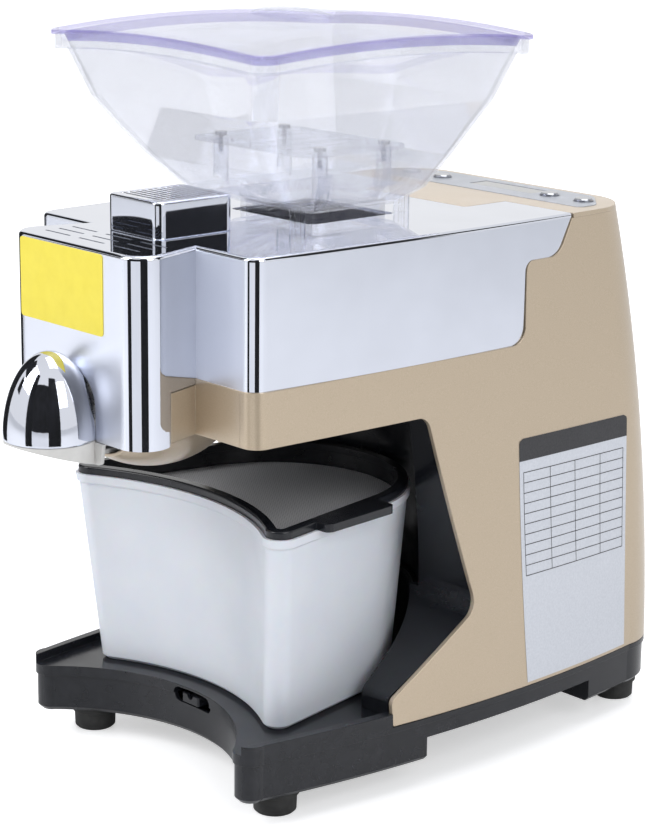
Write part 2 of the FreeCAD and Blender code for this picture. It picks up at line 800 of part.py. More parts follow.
def tank_wire(level, half, front, arc_place, rear_radius, grow=0.0):
    """Plan of the oil container at one level: concave front, straight sides tangent to a round rear."""
    centre = Vector(0, s.tank_rear_centre, level)
    tip = Vector(half, front, level) - centre
    turn = math.atan2(tip.y, tip.x) + math.acos(rear_radius / tip.Length)
    outward = Vector(math.cos(turn), math.sin(turn), 0)
    forward = Vector(math.sin(turn), -math.cos(turn), 0)
    rise = arc_place - front
    bow = (half * half + rise * rise) / (2 * rise)
    bow_centre = Vector(0, arc_place - bow, level)
    corner = s.tank_corner
    start = centre + outward * (rear_radius - corner)
    gap = start - bow_centre
    along = gap.dot(forward)
    run = -along - math.sqrt(along * along - gap.dot(gap) + (bow + corner) ** 2)
    pivot = start + forward * run
    inward = (bow_centre - pivot).normalize()
    radius = corner + grow
    inner = pivot + inward * radius
    bend = pivot + (inward + outward).normalize() * radius
    outer = pivot + outward * radius
    rear = centre + outward * (rear_radius + grow)

    def other(point):
        return Vector(-point.x, point.y, point.z)

    return Part.Wire([
        arc(other(inner), (0, arc_place - grow, level), inner),
        arc(inner, bend, outer),
        line(outer, rear),
        arc(rear, (0, s.tank_rear_centre + rear_radius + grow, level), other(rear)),
        line(other(rear), other(outer)),
        arc(other(outer), other(bend), other(inner)),
    ])


def tank_plan(level, grow):
    """Plan of the container at any height, on the taper between its bottom and top."""
    share = (level - s.tank_bottom) / (s.tank_top - s.tank_bottom)
    low = (s.tank_low_half, s.tank_low_front, s.tank_low_arc, s.tank_low_rear_radius)
    top = (s.tank_top_half, s.tank_top_front, s.tank_top_arc, s.tank_top_rear_radius)
    values = [a + (b - a) * share for a, b in zip(low, top)]
    return tank_wire(level, *values, grow=grow)


def tank_block(grow, low, high):
    """Tapered block of the container, grown outwards, between two heights."""
    return Part.makeLoft([tank_plan(low, grow), tank_plan(high, grow)], True, True)


def recess_block():
    """Room for the container behind the front edge of the sides, open to the front."""
    top_radius = s.tank_top_rear_radius + s.recess_gap
    centre = s.tank_rear_centre
    low = prism(tank_plan(s.base_floor, s.recess_gap + 4).translated(Vector(0, 0, -5)), 60)
    high = rod((0, centre, s.base_floor + 52), (0, 0, 1), top_radius, s.arm_level)
    sweep = box(-top_radius, top_radius, -250, centre, s.base_floor + 52, 400)
    return joined([low, high, sweep])


def underside_level():
    """Lower face of the plate that closes the arm, just inside the gold edge."""
    return s.arm_level + s.fit_gap / 2


def make_column_cover():
    """Black inner wall of the container bay, hollowed for the container's round rear."""
    edge = s.shell_wall + s.fit_gap
    top = underside_level() - s.seat_gap
    outline = [
        (s.bay_foot_front + 3, s.base_floor + 0.2, 0),
        (s.bay_foot_front + 3, s.bay_foot_top - 1, 5),
        (s.bay_elbow_place + 3, s.bay_elbow_height, 12),
        (s.bay_top_place + 4, top, 0),
        (s.gearbox_front - 0.5, top, 0),
        (s.gearbox_front - 0.5, s.base_floor + 0.2, 0),
    ]
    blank = prism(rounded_wire(outline, "yz", -130), 260)
    blank = blank.common(body_block(edge)).common(prism(base_wire(edge + s.base_rim_width + 1, 0), 400))
    skin = recess_block()
    cover = blank.cut(skin)
    inner = prism(rounded_wire([(y + 3, z, radius) for y, z, radius in outline], "yz", -130), 260)
    pad = joined([skin.translated(Vector(0, 2.6, 0)), box(-84, 84, -60, 30, s.base_floor - 5, s.base_floor + 60)])
    hollow = inner.common(body_block(edge + 2.4)).cut(pad)
    hollow = hollow.common(box(-200, 200, -60, 80, s.base_floor - 1, top - 3))
    cover = cover.cut(hollow)
    cover = cover.cut(rod((0, 0, s.axis_height), (0, 1, 0), s.barrel_flange_radius + 1, 100))
    solids = sorted(cover.Solids, key=lambda solid: solid.Volume)
    shaped("column_cover", solids[-1])


def make_underside_cover():
    """Black plate closing the arm from below, with a trough under the heated part of the barrel."""
    low = underside_level()
    wall = s.trough_wall
    rear = s.bay_top_place + 6.5
    block = body_block(s.shell_wall + s.fit_gap)
    plate = block.common(box(-200, 200, -200, rear, low, low + s.shell_wall))
    front_cut = rod((0, -250, s.axis_height), (0, 1, 0), s.guard_mid_radius + 1.2, 250 + s.guard_rear + 1)
    barrel_cut = rod((0, s.guard_rear, s.axis_height), (0, 1, 0), s.trough_radius, 100)
    trough = rod((0, s.guard_rear + 1, s.axis_height), (0, 1, 0), s.trough_radius + wall, rear - s.guard_rear - 1)
    trough = trough.common(box(-200, 200, -200, 200, 0, low + 1))
    shaped("underside_cover", joined([plate.cut(front_cut), trough]).cut(barrel_cut))


# Chrome cover


def chrome_block(inset, low, high):
    """Upright block of the cover: the plan of the gold top, with the nose in front of it."""
    corner = s.chrome_corner_radius - inset
    front = s.nose_front + inset
    shoulder = s.gold_front + s.chrome_inset + inset
    nose = s.nose_front_half - inset
    waist = s.nose_rear_half - inset
    plan = level_wire("deck", s.chrome_inset + inset)
    plan.translate(Vector(0, 0, low - s.deck_level))
    points = [(-nose, front, corner), (nose, front, corner), (waist, shoulder, 0), (waist, shoulder + 20, 0),
              (-waist, shoulder + 20, 0), (-waist, shoulder, 0)]
    return joined([prism(plan, high - low), prism(rounded_wire(points, "xy", low), high - low)])


def chrome_side():
    """Side view of the cover, as (y, z, radius)."""
    gap = s.fit_gap
    return [
        (s.nose_front - 10, s.nose_bottom, 0),
        (s.nose_step, s.nose_bottom, 2),
        (s.nose_step, s.nose_step_bottom, 0),
        (s.gold_front - 0.2, s.nose_step_bottom, 0),
        (s.gold_front - 0.2, s.chrome_bottom, 0),
        (s.chrome_rear - gap, s.chrome_bottom, 10),
        (s.chrome_rear - gap, s.chrome_ear_bottom, 6),
        (s.chrome_ear_rear - gap, s.chrome_ear_bottom, 12),
        (s.deck_front - gap, s.deck_level, 0),
        (s.nose_front - 10, s.deck_level, 0),
    ]


def make_chrome_cover():
    """Polished hood over the press: nose, shoulders, side skirts and two ears at the rear."""
    top = s.deck_level
    outer = chrome_block(0, s.nose_bottom - 5, top + 20)
    outer = outer.common(prism(rounded_wire(chrome_side(), "yz", -130), 260))
    edges = []
    for edge in outer.Edges:
        points = [vertex.Point for vertex in edge.Vertexes]
        flat_top = all(abs(point.z - top) < 0.01 for point in points)
        if flat_top and min(point.y for point in points) < s.chrome_rear:
            edges.append(edge)
    outer = outer.makeFillet(s.chrome_edge_radius, edges)
    cover = outer.cut(chrome_block(s.chrome_wall, s.nose_bottom - 20, top - s.chrome_wall))
    notch = [(-s.deck_tongue_half - 0.6, s.deck_tongue_front - s.fit_gap, 3),
             (s.deck_tongue_half + 0.6, s.deck_tongue_front - s.fit_gap, 3),
             (s.deck_tongue_half + 0.6, 200, 0), (-s.deck_tongue_half - 0.6, 200, 0)]
    cover = cover.cut(prism(rounded_wire(notch, "xy", s.chrome_bottom), 100))
    feed = [(sx * s.feed_hole_half_x, sy * s.feed_hole_half_y, 4) for sx, sy in ((-1, -1), (1, -1), (1, 1), (-1, 1))]
    cover = cover.cut(prism(rounded_wire(feed, "xy", s.chrome_bottom), 100))
    slot_zone = prism(rounded_wire([(-20, s.nose_bottom - 30, 0), (20, s.nose_bottom - 30, 0),
                                    (20, s.axis_height + 20, 19), (-20, s.axis_height + 20, 19)],
                                   "xz", s.nose_front - 5), 20)
    cover = cover.cut(slot_zone)
    for row in range(3):
        y = s.cap_front - 9.5 - row * s.nose_slot_pitch
        for x in (-30, 0, 30):
            cover = cover.cut(box(x - s.nose_slot_length / 2, x + s.nose_slot_length / 2, y,
                                  y + s.nose_slot_width, top - 10, top + 10))
    shaped("chrome_cover", cover)


def make_cover_cap():
    """Ribbed chrome box on the cover, which lets the steam out between its ribs."""
    half, wall, low = s.cap_half, s.cap_wall, s.deck_level
    points = [(-half, s.cap_front, s.cap_corner_radius), (half, s.cap_front, s.cap_corner_radius),
              (half, s.cap_rear, s.cap_corner_radius), (-half, s.cap_rear, s.cap_corner_radius)]
    outer = prism(rounded_wire(points, "xy", low), s.cap_height)
    edges = [e for e in outer.Edges if all(abs(v.Point.z - low - s.cap_height) < 0.01 for v in e.Vertexes)]
    outer = outer.makeFillet(s.cap_edge_radius, edges)
    inner_points = [(x * (half - wall) / half, y + (wall if y < -100 else -wall), s.cap_corner_radius - wall)
                    for x, y, _ in points]
    cap = outer.cut(prism(rounded_wire(inner_points, "xy", low - 1), s.cap_height - wall + 1))
    count = int((s.cap_rear - s.cap_front - 8) / s.cap_slot_pitch)
    first = (s.cap_front + s.cap_rear) / 2 - (count - 1) * s.cap_slot_pitch / 2
    for index in range(count):
        y = first + index * s.cap_slot_pitch
        cap = cap.cut(box(4.5 - half, half - 4.5, y - s.cap_slot_width / 2, y + s.cap_slot_width / 2,
                          low + s.cap_height - wall - 1, low + s.cap_height + 1))
    shaped("cover_cap", cap)


def hood_form(radius, height):
    """Egg-shaped body standing on the hood's lower edge, its axis in front of the nose."""
    scale = FreeCAD.Matrix()
    scale.scale(Vector(radius, radius, height))
    form = Part.makeSphere(1.0).transformGeometry(scale)
    return form.translated(Vector(0, s.nose_front - s.hood_reach, s.nose_bottom + 1))


def make_outlet_hood():
    """Tall dome over the residue outlet, open below and against the nose."""
    zone = box(-200, 200, -300, s.nose_front - 0.2, s.nose_bottom + 1, 400)
    outer = hood_form(s.hood_radius, s.hood_height)
    inner = hood_form(s.hood_radius - s.hood_wall, s.hood_height - s.hood_wall)
    shaped("outlet_hood", outer.cut(inner).common(zone))


def make_outlet_chute():
    """Pale heat-proof collar under the hood, deepest at the nose, that steers the residue down."""
    half = s.chute_half
    top = s.nose_bottom - 0.4
    outline = [(-half, top, 0), (half, top, 0), (half - 2, s.chute_bottom + 1.5, 2),
               (0, s.chute_bottom, 40), (2 - half, s.chute_bottom + 1.5, 2)]
    plate = prism(rounded_wire(outline, "xz", s.nose_front - 1), s.chute_thickness)
    axis = s.nose_front - s.hood_reach
    collar = rod((0, axis, s.chute_bottom - 5), (0, 0, 1), s.hood_radius - 0.4, top + 1 - s.chute_bottom + 5)
    collar = collar.cut(rod((0, axis, 0), (0, 0, 1), s.hood_radius - 0.4 - s.hood_wall, 400))
    collar = collar.common(box(-200, 200, -300, s.nose_front - 0.4, 0, 400))
    front = axis - s.hood_radius
    slope = (s.chute_bottom + 1 - top) / (s.nose_front - front)
    rear = s.nose_front + 20
    below = [(front - 5, 0, 0), (rear, 0, 0), (rear, top + slope * (rear - front), 0), (front - 5, top - 5 * slope, 0)]
    collar = collar.cut(prism(rounded_wire(below, "yz", -100), 200))
    barrel_room = rod((0, s.nose_front - 10, s.axis_height), (0, 1, 0), s.nozzle_radius + 1, 30)
    neck_low = s.axis_height - s.guard_end_radius + s.guard_wall + 0.9
    neck = box(-6, 6, s.nose_front - 1, s.guard_front + 10, neck_low, neck_low + s.chute_thickness)
    shaped("outlet_chute", joined([joined([plate, collar]).cut(barrel_room), neck]))


# Press


def make_barrel():
    """Steel barrel with a feed opening on top and oil slots below."""
    length = s.barrel_rear - s.barrel_front
    start = (0, s.barrel_front, s.axis_height)
    tube = rod(start, (0, 1, 0), s.barrel_radius, length)
    flange = rod((0, s.barrel_rear - s.barrel_flange_length, s.axis_height), (0, 1, 0),
                 s.barrel_flange_radius, s.barrel_flange_length)
    boss = rod((0, 0, s.axis_height), (0, 0, 1), s.neck_outlet_radius + 3, s.barrel_radius + 5)
    barrel = joined([tube, flange, boss])
    barrel = barrel.cut(rod(start, (0, 1, 0), s.barrel_bore, length))
    barrel = barrel.cut(rod((0, 0, s.axis_height), (0, 0, 1), s.neck_outlet_radius, 60))
    for index in range(10):
        y = s.barrel_slot_start + index * s.barrel_slot_pitch
        barrel = barrel.cut(box(-14, 14, y, y + s.barrel_slot_width, s.axis_height - 30, s.axis_height - 8))
    shaped("press_barrel", barrel)


def core_radius(y):
    """The screw's core grows towards the outlet, so that the seed is squeezed."""
    share = (y - s.barrel_front) / (s.barrel_rear - s.barrel_front)
    return s.screw_core_front + (s.screw_core_rear - s.screw_core_front) * share


def make_press_screw():
    """Press worm: tapered core, one helical flight, conical tip and a hexagonal socket."""
    outer = s.barrel_bore - s.screw_clearance
    first = s.barrel_front + 14
    last = s.barrel_rear - 8
    core = Part.makeCone(core_radius(first), core_radius(last), last - first, Vector(0, first, s.axis_height),
                         Vector(0, 1, 0))
    tip = Part.makeCone(s.nozzle_bore - 5.5, core_radius(first), first - s.screw_tip,
                        Vector(0, s.screw_tip, s.axis_height), Vector(0, 1, 0))
    journal = rod((0, last, s.axis_height), (0, 1, 0), outer, s.barrel_rear + 4 - last)
    steps_per_turn = 14
    turns = (last - first - s.screw_flight_width) / s.screw_pitch
    sections = []
    for step in range(int(turns * steps_per_turn) + 1):
        angle = 2 * math.pi * step / steps_per_turn
        y = first + s.screw_pitch * step / steps_per_turn
        radial = Vector(math.cos(angle), 0, math.sin(angle))
        low = core_radius(y) - 1.5
        corners = [(low, 0), (outer, 0.9), (outer, s.screw_flight_width - 0.9), (low, s.screw_flight_width)]
        spots = [Vector(0, y + shift, s.axis_height) + radial * reach for reach, shift in corners]
        sections.append(Part.makePolygon(spots + spots[:1]))
    flight = Part.makeLoft(sections, True, True)
    limit = rod((0, s.screw_tip, s.axis_height), (0, 1, 0), outer, 400)
    worm = joined([core, tip, journal, flight.common(limit)])
    shaped("press_screw", worm.cut(hex_bar(s.shaft_hex + 0.15, s.barrel_rear - 14, 30)))


def hex_bar(across, start, length):
    """Hexagonal bar on the press axis; across is half the width over flats."""
    reach = across / math.cos(math.pi / 6)
    corners = [Vector(reach * math.cos(math.pi * k / 3), start, s.axis_height + reach * math.sin(math.pi * k / 3))
               for k in range(6)]
    return Part.Face(Part.makePolygon(corners + corners[:1])).extrude(Vector(0, length, 0))


def make_press_fittings():
    """Nozzle nut, lock collar, heater band, sensor and the gold guard."""
    turned("outlet_nozzle", [("nozzle_bore", "0"), ("nozzle_radius - 2", "0"), ("nozzle_radius", "2"),
                             ("nozzle_radius", "nozzle_length"), ("nozzle_bore", "nozzle_length")],
           ("0", "barrel_front - nozzle_length", "axis_height"), True)
    turned("barrel_collar",
           [("barrel_radius + 0.3", "0"), ("barrel_flange_radius + collar_wall", "0"),
            ("barrel_flange_radius + collar_wall", "barrel_flange_length + collar_lip + 6"),
            ("barrel_flange_radius + 0.3", "barrel_flange_length + collar_lip + 6"),
            ("barrel_flange_radius + 0.3", "collar_lip"), ("barrel_radius + 0.3", "collar_lip")],
           ("0", "barrel_rear - barrel_flange_length - collar_lip", "axis_height"), True)
    turned("heater_band",
           [("barrel_radius + heater_clearance", "0"), ("barrel_radius + heater_clearance + heater_wall", "0"),
            ("barrel_radius + heater_clearance + heater_wall", "heater_length"),
            ("barrel_radius + heater_clearance", "heater_length")],
           ("0", "heater_front", "axis_height"), True)
    turned("temperature_sensor",
           [("0", "0"), ("sensor_radius * 1.8", "0"), ("sensor_radius * 1.8", "4"), ("sensor_radius", "4"),
            ("sensor_radius", "sensor_height"), ("0", "sensor_height")],
           ("0", "sensor_place", "axis_height + barrel_radius + 0.2"))
    guard = guard_form(0).cut(guard_form(s.guard_wall))
    guard = guard.common(box(-200, 200, -300, 300, 0, s.guard_top))
    for index in range(5):
        y = s.barrel_slot_start + 4 + index * 7.5
        guard = guard.cut(box(-16, 16, y, y + 2.2, 0, s.axis_height - 34))
    ear_front = s.gold_front + 6
    seat = underside_level() + s.shell_wall + s.seat_gap
    for side in (-1, 1):
        reach = sorted((side * (s.guard_mid_radius - 5), side * (s.guard_mid_radius + 14)))
        guard = guard.fuse(box(*reach, ear_front, ear_front + 16, seat, seat + 2))
    shaped("barrel_guard", guard)


def guard_form(inset):
    """Barrel shaped round body about the press axis."""
    front, rear = s.guard_front, s.guard_rear
    middle = (front + rear) / 2
    end, mid = s.guard_end_radius - inset, s.guard_mid_radius - inset
    axis = s.axis_height
    outline = Part.Wire([
        arc((0, front, axis - end), (0, middle, axis - mid), (0, rear, axis - end)),
        line((0, rear, axis - end), (0, rear, axis)),
        line((0, rear, axis), (0, front, axis)),
        line((0, front, axis), (0, front, axis - end)),
    ])
    return Part.Face(outline).revolve(Vector(0, 0, axis), Vector(0, 1, 0), 360)


def make_feed_neck():
    """Steel throat from the opening in the cover down to the barrel."""
    wall = s.neck_wall

    def form(inset, low, high):
        half_x, half_y = s.neck_half_x - inset, s.neck_half_y - inset
        corners = [(-half_x, -half_y, 5), (half_x, -half_y, 5), (half_x, half_y, 5), (-half_x, half_y, 5)]
        straight_low = s.neck_top - s.neck_straight
        top = rounded_wire(corners, "xy", straight_low)
        round_wire = octant_wire(s.neck_outlet_radius + 1.4 - inset, low)
        funnel = Part.makeLoft([round_wire, top], True, True)
        return joined([funnel, prism(top, high - straight_low)])

    low = s.axis_height + s.barrel_radius + 5.2
    neck = form(0, low, s.neck_top).cut(form(wall, low - 0.01, s.neck_top + 1))
    shaped("feed_neck", neck)


def octant_wire(radius, level):
    """A circle in eight arcs, to match a rectangle with rounded corners."""
    edges = []
    for index in range(8):
        angles = [math.radians(-157.5 + 45 * index + turn) for turn in (0, 22.5, 45)]
        spots = [(radius * math.cos(a), radius * math.sin(a), level) for a in angles]
        edges.append(arc(*spots))
    return Part.Wire(edges)


# Drive


def gear_heights():
    """Heights of the output, intermediate and motor axes."""
    second = s.axis_height - s.output_module * (s.output_teeth + s.pinion_teeth) / 2
    third = second - s.first_module * (s.first_teeth + s.pinion_teeth) / 2
    return s.axis_height, second, third


def involute_point(base, radius):
    """Radius and the angle by which an involute has turned there."""
    if radius <= base:
        return radius, 0.0
    roll = math.sqrt((radius / base) ** 2 - 1)
    return radius, roll - math.atan(roll)


def gear_blank(teeth, module, width, start, height, first_angle):
    """Spur gear with involute flanks; one tooth stands at first_angle (degrees from +X to +Z)."""
    pitch = module * teeth / 2
    base = pitch * math.cos(math.radians(20))
    tip = pitch + s.gear_addendum * module
    root = pitch - s.gear_dedendum * module
    half_tooth = (math.pi * module / 2 - s.gear_backlash) / 2 / pitch
    at_pitch = involute_point(base, pitch)[1]
    flank = []
    for radius in (root, max(base, root) + 0.01, pitch, tip):
        reach, turn = involute_point(base, radius)
        flank.append((reach, half_tooth + at_pitch - turn))
    corners = []
    for index in range(int(teeth)):
        centre = math.radians(first_angle) + 2 * math.pi * index / teeth
        around = [(reach, centre - turn) for reach, turn in flank]
        around += [(reach, centre + turn) for reach, turn in reversed(flank)]
        corners += [Vector(r * math.cos(a), start, height + r * math.sin(a)) for r, a in around]
    return Part.Face(Part.makePolygon(corners + corners[:1])).extrude(Vector(0, width, 0))


def make_gears():
    """Two reductions: motor pinion, intermediate wheel and pinion, output wheel."""
    top, middle, low = gear_heights()
    inside = s.gearbox_front + s.gearbox_cover_thickness
    width = s.gear_width
    first = inside + 2
    second = first + width + 3
    between = 180.0 / s.pinion_teeth
    wheel = gear_blank(s.output_teeth, s.output_module, width, first, top, -90)
    hub = rod((0, first - 1.5, top), (0, 1, 0), s.shaft_radius + 7, width + 3)
    wheel = wheel.cut(recess_ring(first - 1, 4.5, top, s.shaft_radius + 9, 42))
    wheel = wheel.cut(recess_ring(first + width - 3.5, 4.5, top, s.shaft_radius + 9, 42))
    wheel = joined([wheel, hub]).cut(rod((0, first - 5, top), (0, 1, 0), s.shaft_radius, width + 12))
    shaped("output_gear", wheel)
    shaft_start = s.barrel_rear - 12
    shaft_end = s.gearbox_front + s.gearbox_depth - 1
    shaft = rod((0, s.barrel_rear + 5, top), (0, 1, 0), s.shaft_radius, shaft_end - s.barrel_rear - 5)
    shaped("output_shaft", joined([shaft, hex_bar(s.shaft_hex, shaft_start, 24)]))
    pinion = gear_blank(s.pinion_teeth, s.output_module, width + 2, first - 1, middle, 90 + between)
    layshaft = rod((0, s.gearbox_front + 2, middle), (0, 1, 0), s.layshaft_radius, s.gearbox_depth - 4)
    shaped("intermediate_shaft", joined([pinion, layshaft]))
    wheel = gear_blank(s.first_teeth, s.first_module, width - 2, second, middle, -90)
    wheel = wheel.cut(recess_ring(second - 1, 3.5, middle, s.layshaft_radius + 8, 32))
    wheel = wheel.cut(rod((0, second - 5, middle), (0, 1, 0), s.layshaft_radius, width + 12))
    shaped("intermediate_gear", wheel)
    pinion = gear_blank(s.pinion_teeth, s.first_module, width, second - 1, low, 90 + between)
    shaped("motor_pinion", pinion.cut(rod((0, second - 5, low), (0, 1, 0), s.motor_shaft_radius, width + 12)))


def recess_ring(start, depth, height, inner, outer):
    ring = rod((0, start, height), (0, 1, 0), outer, depth)
    return ring.cut(rod((0, start - 1, height), (0, 1, 0), inner, depth + 2))


def gearbox_wire(inset, level):
    """Upright outline of the gearbox: round at both ends, wider at the output wheel."""
    top, middle, low = gear_heights()
    big = s.output_module * s.output_teeth / 2 + s.gearbox_margin + s.gearbox_wall - inset
    small = 30 - inset
    return rounded_wire([(-big, top + big, big * 0.6), (big, top + big, big * 0.6),
                         (big, middle - 28, 20), (small, low - small, 12), (-small, low - small, 12),
                         (-big, middle - 28, 20)], "xz", level)


def make_gearbox():
    """Cast housing and its cover with the round seat that carries the barrel."""
    top, middle, low = gear_heights()
    front = s.gearbox_front
    cover_end = front + s.gearbox_cover_thickness
    rear = front + s.gearbox_depth
    housing = prism(gearbox_wire(0, cover_end), rear - cover_end)
    housing = housing.cut(prism(gearbox_wire(s.gearbox_wall, cover_end - 1), rear - cover_end - s.gearbox_wall + 1))
    seat = rod((0, rear - s.gearbox_wall - 6, top), (0, 1, 0), s.bearing_outer_radius + 4, 8)
    housing = joined([housing, seat])
    housing = housing.cut(rod((0, rear - s.gearbox_wall - 8, top), (0, 1, 0), s.bearing_outer_radius + 0.05, 9.5))
    housing = housing.cut(rod((0, cover_end, top), (0, 1, 0), s.shaft_radius + s.running_gap, 60))
    housing = housing.cut(rod((0, rear - s.gearbox_wall - 1, middle), (0, 1, 0),
                              s.layshaft_radius + s.running_gap / 4, s.gearbox_wall - 0.6))
    housing = housing.cut(rod((0, cover_end, low), (0, 1, 0), s.motor_shaft_radius + s.running_gap + 8, 60))
    cover = prism(gearbox_wire(0, front), s.gearbox_cover_thickness)
    snout = rod((0, s.barrel_rear, top), (0, 1, 0), s.barrel_flange_radius, front - s.barrel_rear + 1)
    cover = joined([cover, snout])
    cover = cover.cut(rod((0, s.barrel_rear - 1, top), (0, 1, 0), s.barrel_bore + 0.6, 12))
    cover = cover.cut(rod((0, s.barrel_rear, top), (0, 1, 0), s.shaft_radius + s.running_gap, 60))
    bearing_start = cover_end - s.bearing_width
    cover = cover.cut(rod((0, bearing_start, top), (0, 1, 0), s.bearing_outer_radius + 0.05, 30))
    cover = cover.cut(rod((0, front + 1.5, middle), (0, 1, 0), s.layshaft_radius + s.running_gap / 4, 30))
    for place in gearbox_screw_places():
        cover = cover.cut(gearbox_screw(place))
        housing = housing.cut(gearbox_screw(place))
    shaped("gearbox_housing", housing)
    shaped("gearbox_cover", cover)
    shaped("gearbox_screws", Part.makeCompound([gearbox_screw(place) for place in gearbox_screw_places()]))


def gearbox_screw_places():
    """Screws in the rim of the gearbox, as (x, z)."""
    top, middle, low = gear_heights()
    big = s.output_module * s.output_teeth / 2 + s.gearbox_margin + s.gearbox_wall
    rim = big - s.gearbox_wall / 2
    return [(side * x, z) for side in (-1, 1) for x, z in ((rim, top), (rim, middle), (30, top + rim))]


def gearbox_screw(place):
    x, height = place
    head = rod((x, s.gearbox_front - 2.5, height), (0, 1, 0), 3.0, 2.5)
    return head.fuse(rod((x, s.gearbox_front - 0.1, height), (0, 1, 0), 1.3, s.gearbox_cover_thickness + 14))


def make_bearings():
    """Ball bearings of the output shaft, as closed rings."""
    ring = [("shaft_radius + 0.05", "0"), ("bearing_outer_radius", "0"), ("bearing_outer_radius", "bearing_width"),
            ("bearing_outer_radius - 2.5", "bearing_width"),
            ("bearing_outer_radius - 2.5", "bearing_width - 0.6"),
            ("shaft_radius + 2.5", "bearing_width - 0.6"), ("shaft_radius + 2.5", "bearing_width"),
            ("shaft_radius + 0.05", "bearing_width")]
    turned("output_bearing_front", ring,
           ("0", "gearbox_front + gearbox_cover_thickness - bearing_width", "axis_height"), True)
    turned("output_bearing_rear", ring,
           ("0", "gearbox_front + gearbox_depth - gearbox_wall - 6.5", "axis_height"), True)


def make_motor():
    """Motor can with end plates, rotor on its shaft, and a fan behind."""
    low = gear_heights()[2]
    start = s.gearbox_front + s.gearbox_depth
    end = start + s.motor_length
    wall = s.motor_wall
    can = rod((0, start, low), (0, 1, 0), s.motor_radius, s.motor_length)
    can = can.cut(rod((0, start + wall, low), (0, 1, 0), s.motor_radius - wall, s.motor_length - 2 * wall))
    can = can.cut(rod((0, start - 1, low), (0, 1, 0), s.motor_shaft_radius + 0.1, s.motor_length + 2))
    for step in range(6):
        angle = math.radians(60 * step)
        spot = (0.62 * s.motor_radius * math.cos(angle), end - 2 * wall, low + 0.62 * s.motor_radius * math.sin(angle))
        can = can.cut(rod(spot, (0, 1, 0), 5, 4 * wall))
    shaped("motor_can", can)
    pinion_start = s.gearbox_front + s.gearbox_cover_thickness + 2 + s.gear_width + 2
    shaft = rod((0, pinion_start, low), (0, 1, 0), s.motor_shaft_radius, end + s.fan_length + 3 - pinion_start)
    core = rod((0, start + wall + 9, low), (0, 1, 0), s.motor_radius - wall - 8 - s.rotor_gap,
               s.motor_length - 2 * wall - 24)
    drum = rod((0, end - wall - 12, low), (0, 1, 0), 10, 9)
    shaped("motor_rotor", joined([shaft, core, drum]))
    make_motor_fan(end + 2.0, low)


def make_motor_fan(start, height):
    """Fan of eleven straight blades on a hub."""
    hub = rod((0, start, height), (0, 1, 0), 8, s.fan_length)
    disc = rod((0, start, height), (0, 1, 0), s.fan_radius, 1.2)
    parts = [hub, disc]
    for step in range(11):
        blade = box(7, s.fan_radius, start, start + s.fan_length, height - 0.6, height + 0.6)
        parts.append(blade.rotated(Vector(0, 0, height), Vector(0, 1, 0), 360 * step / 11))
    fan = joined(parts)
    shaped("motor_fan", fan.cut(rod((0, start - 1, height), (0, 1, 0), s.motor_shaft_radius, s.fan_length + 2)))


def make_drive_stand():
    """Sheet steel stand on the tray floor under the gearbox and the motor."""
    low = gear_heights()[2]
    floor = s.base_floor
    gap = 0.3
    wall = s.stand_thickness
    rear = s.gearbox_front + s.gearbox_depth + s.motor_length - 6
    foot = box(-46, 46, s.gearbox_front + 4, rear, floor, floor + wall)
    front_leg = box(-46, 46, s.gearbox_front + 10, s.gearbox_front + 10 + wall, floor, low - 30 - gap)
    middle = s.gearbox_front + s.gearbox_depth
    saddles = [box(-40, 40, y, y + wall, floor, low) for y in (middle + 10, rear - wall - 6)]
    stand = joined([foot, front_leg] + saddles)
    stand = stand.cut(rod((0, middle + 1, low), (0, 1, 0), s.motor_radius + gap, 200))
    ledge = box(-40, 40, s.gearbox_front + 10, middle - 4, low - 30 - gap - wall, low - 30 - gap)
    shaped("drive_stand", joined([stand, ledge]))


def make_rear_fittings():
    """Mains inlet and rocker switch in the rear cover."""
    wall = rear_wall(73)
    shell = box(22.3, 49.7, wall - 22, wall + 0.3, 62.3, 83.7)
    cavity = box(24.7, 47.3, wall - 16, wall + 5, 64.4, 81.6)
    inlet = shell.cut(cavity)
    for x, z in ((30, 71.5), (42, 71.5), (36, 76)):
        inlet = inlet.fuse(box(x - 1, x + 1, wall - 17, wall - 3, z - 2, z + 2))
    shaped("power_inlet", inlet)
    frame = box(-47.7, -26.3, wall - 20, wall + 0.3, 62.3, 83.7)
    frame = frame.cut(box(-45.2, -28.8, wall - 13, wall + 5, 64.8, 81.2))
    frame = frame.cut(rod((-46.6, wall - 6, 73), (1, 0, 0), 1.55, 19.2))
    shaped("switch_frame", frame)
    outline = [(wall - 6.0, 66.0, 0.8), (wall + 0.9, 66.4, 1.0), (wall - 0.6, 73, 6), (wall - 2.0, 79.8, 1.0),
               (wall - 8.0, 80.0, 0.8), (wall - 10.5, 73, 3)]
    pivot = rod((-46.5, wall - 6, 73), (1, 0, 0), 1.5, 19.0)
    shaped("power_rocker", joined([prism(rounded_wire(outline, "yz", -44.7), 15.4), pivot]))


# Hopper


def hopper_levels():
    """Height, half width, front, rear and corner radius at each level, up to the lid's crown."""
    depth = s.lid_crown - s.hopper_floor
    flare = 0.16 * (s.lid_crown - s.hopper_top)
    return [
        (s.hopper_floor - s.hopper_wall, s.spout_half_x + 4, -s.spout_half_y - 6, s.spout_half_y + 10, 8),
        (s.hopper_floor + 0.068 * depth, 46.5, -60, 49, 10),
        (s.hopper_floor + 0.234 * depth, 56.5, -78, 58, 11),
        (s.hopper_floor + 0.39 * depth, 66, -91, 65, 12),
        (s.hopper_floor + 0.557 * depth, 77, -102.5, 72, 13),
        (s.lid_crown, s.hopper_half + 1.2 + flare, s.hopper_front - 0.6 - flare, s.hopper_rear + 0.6 + flare,
         s.hopper_radius),
    ]


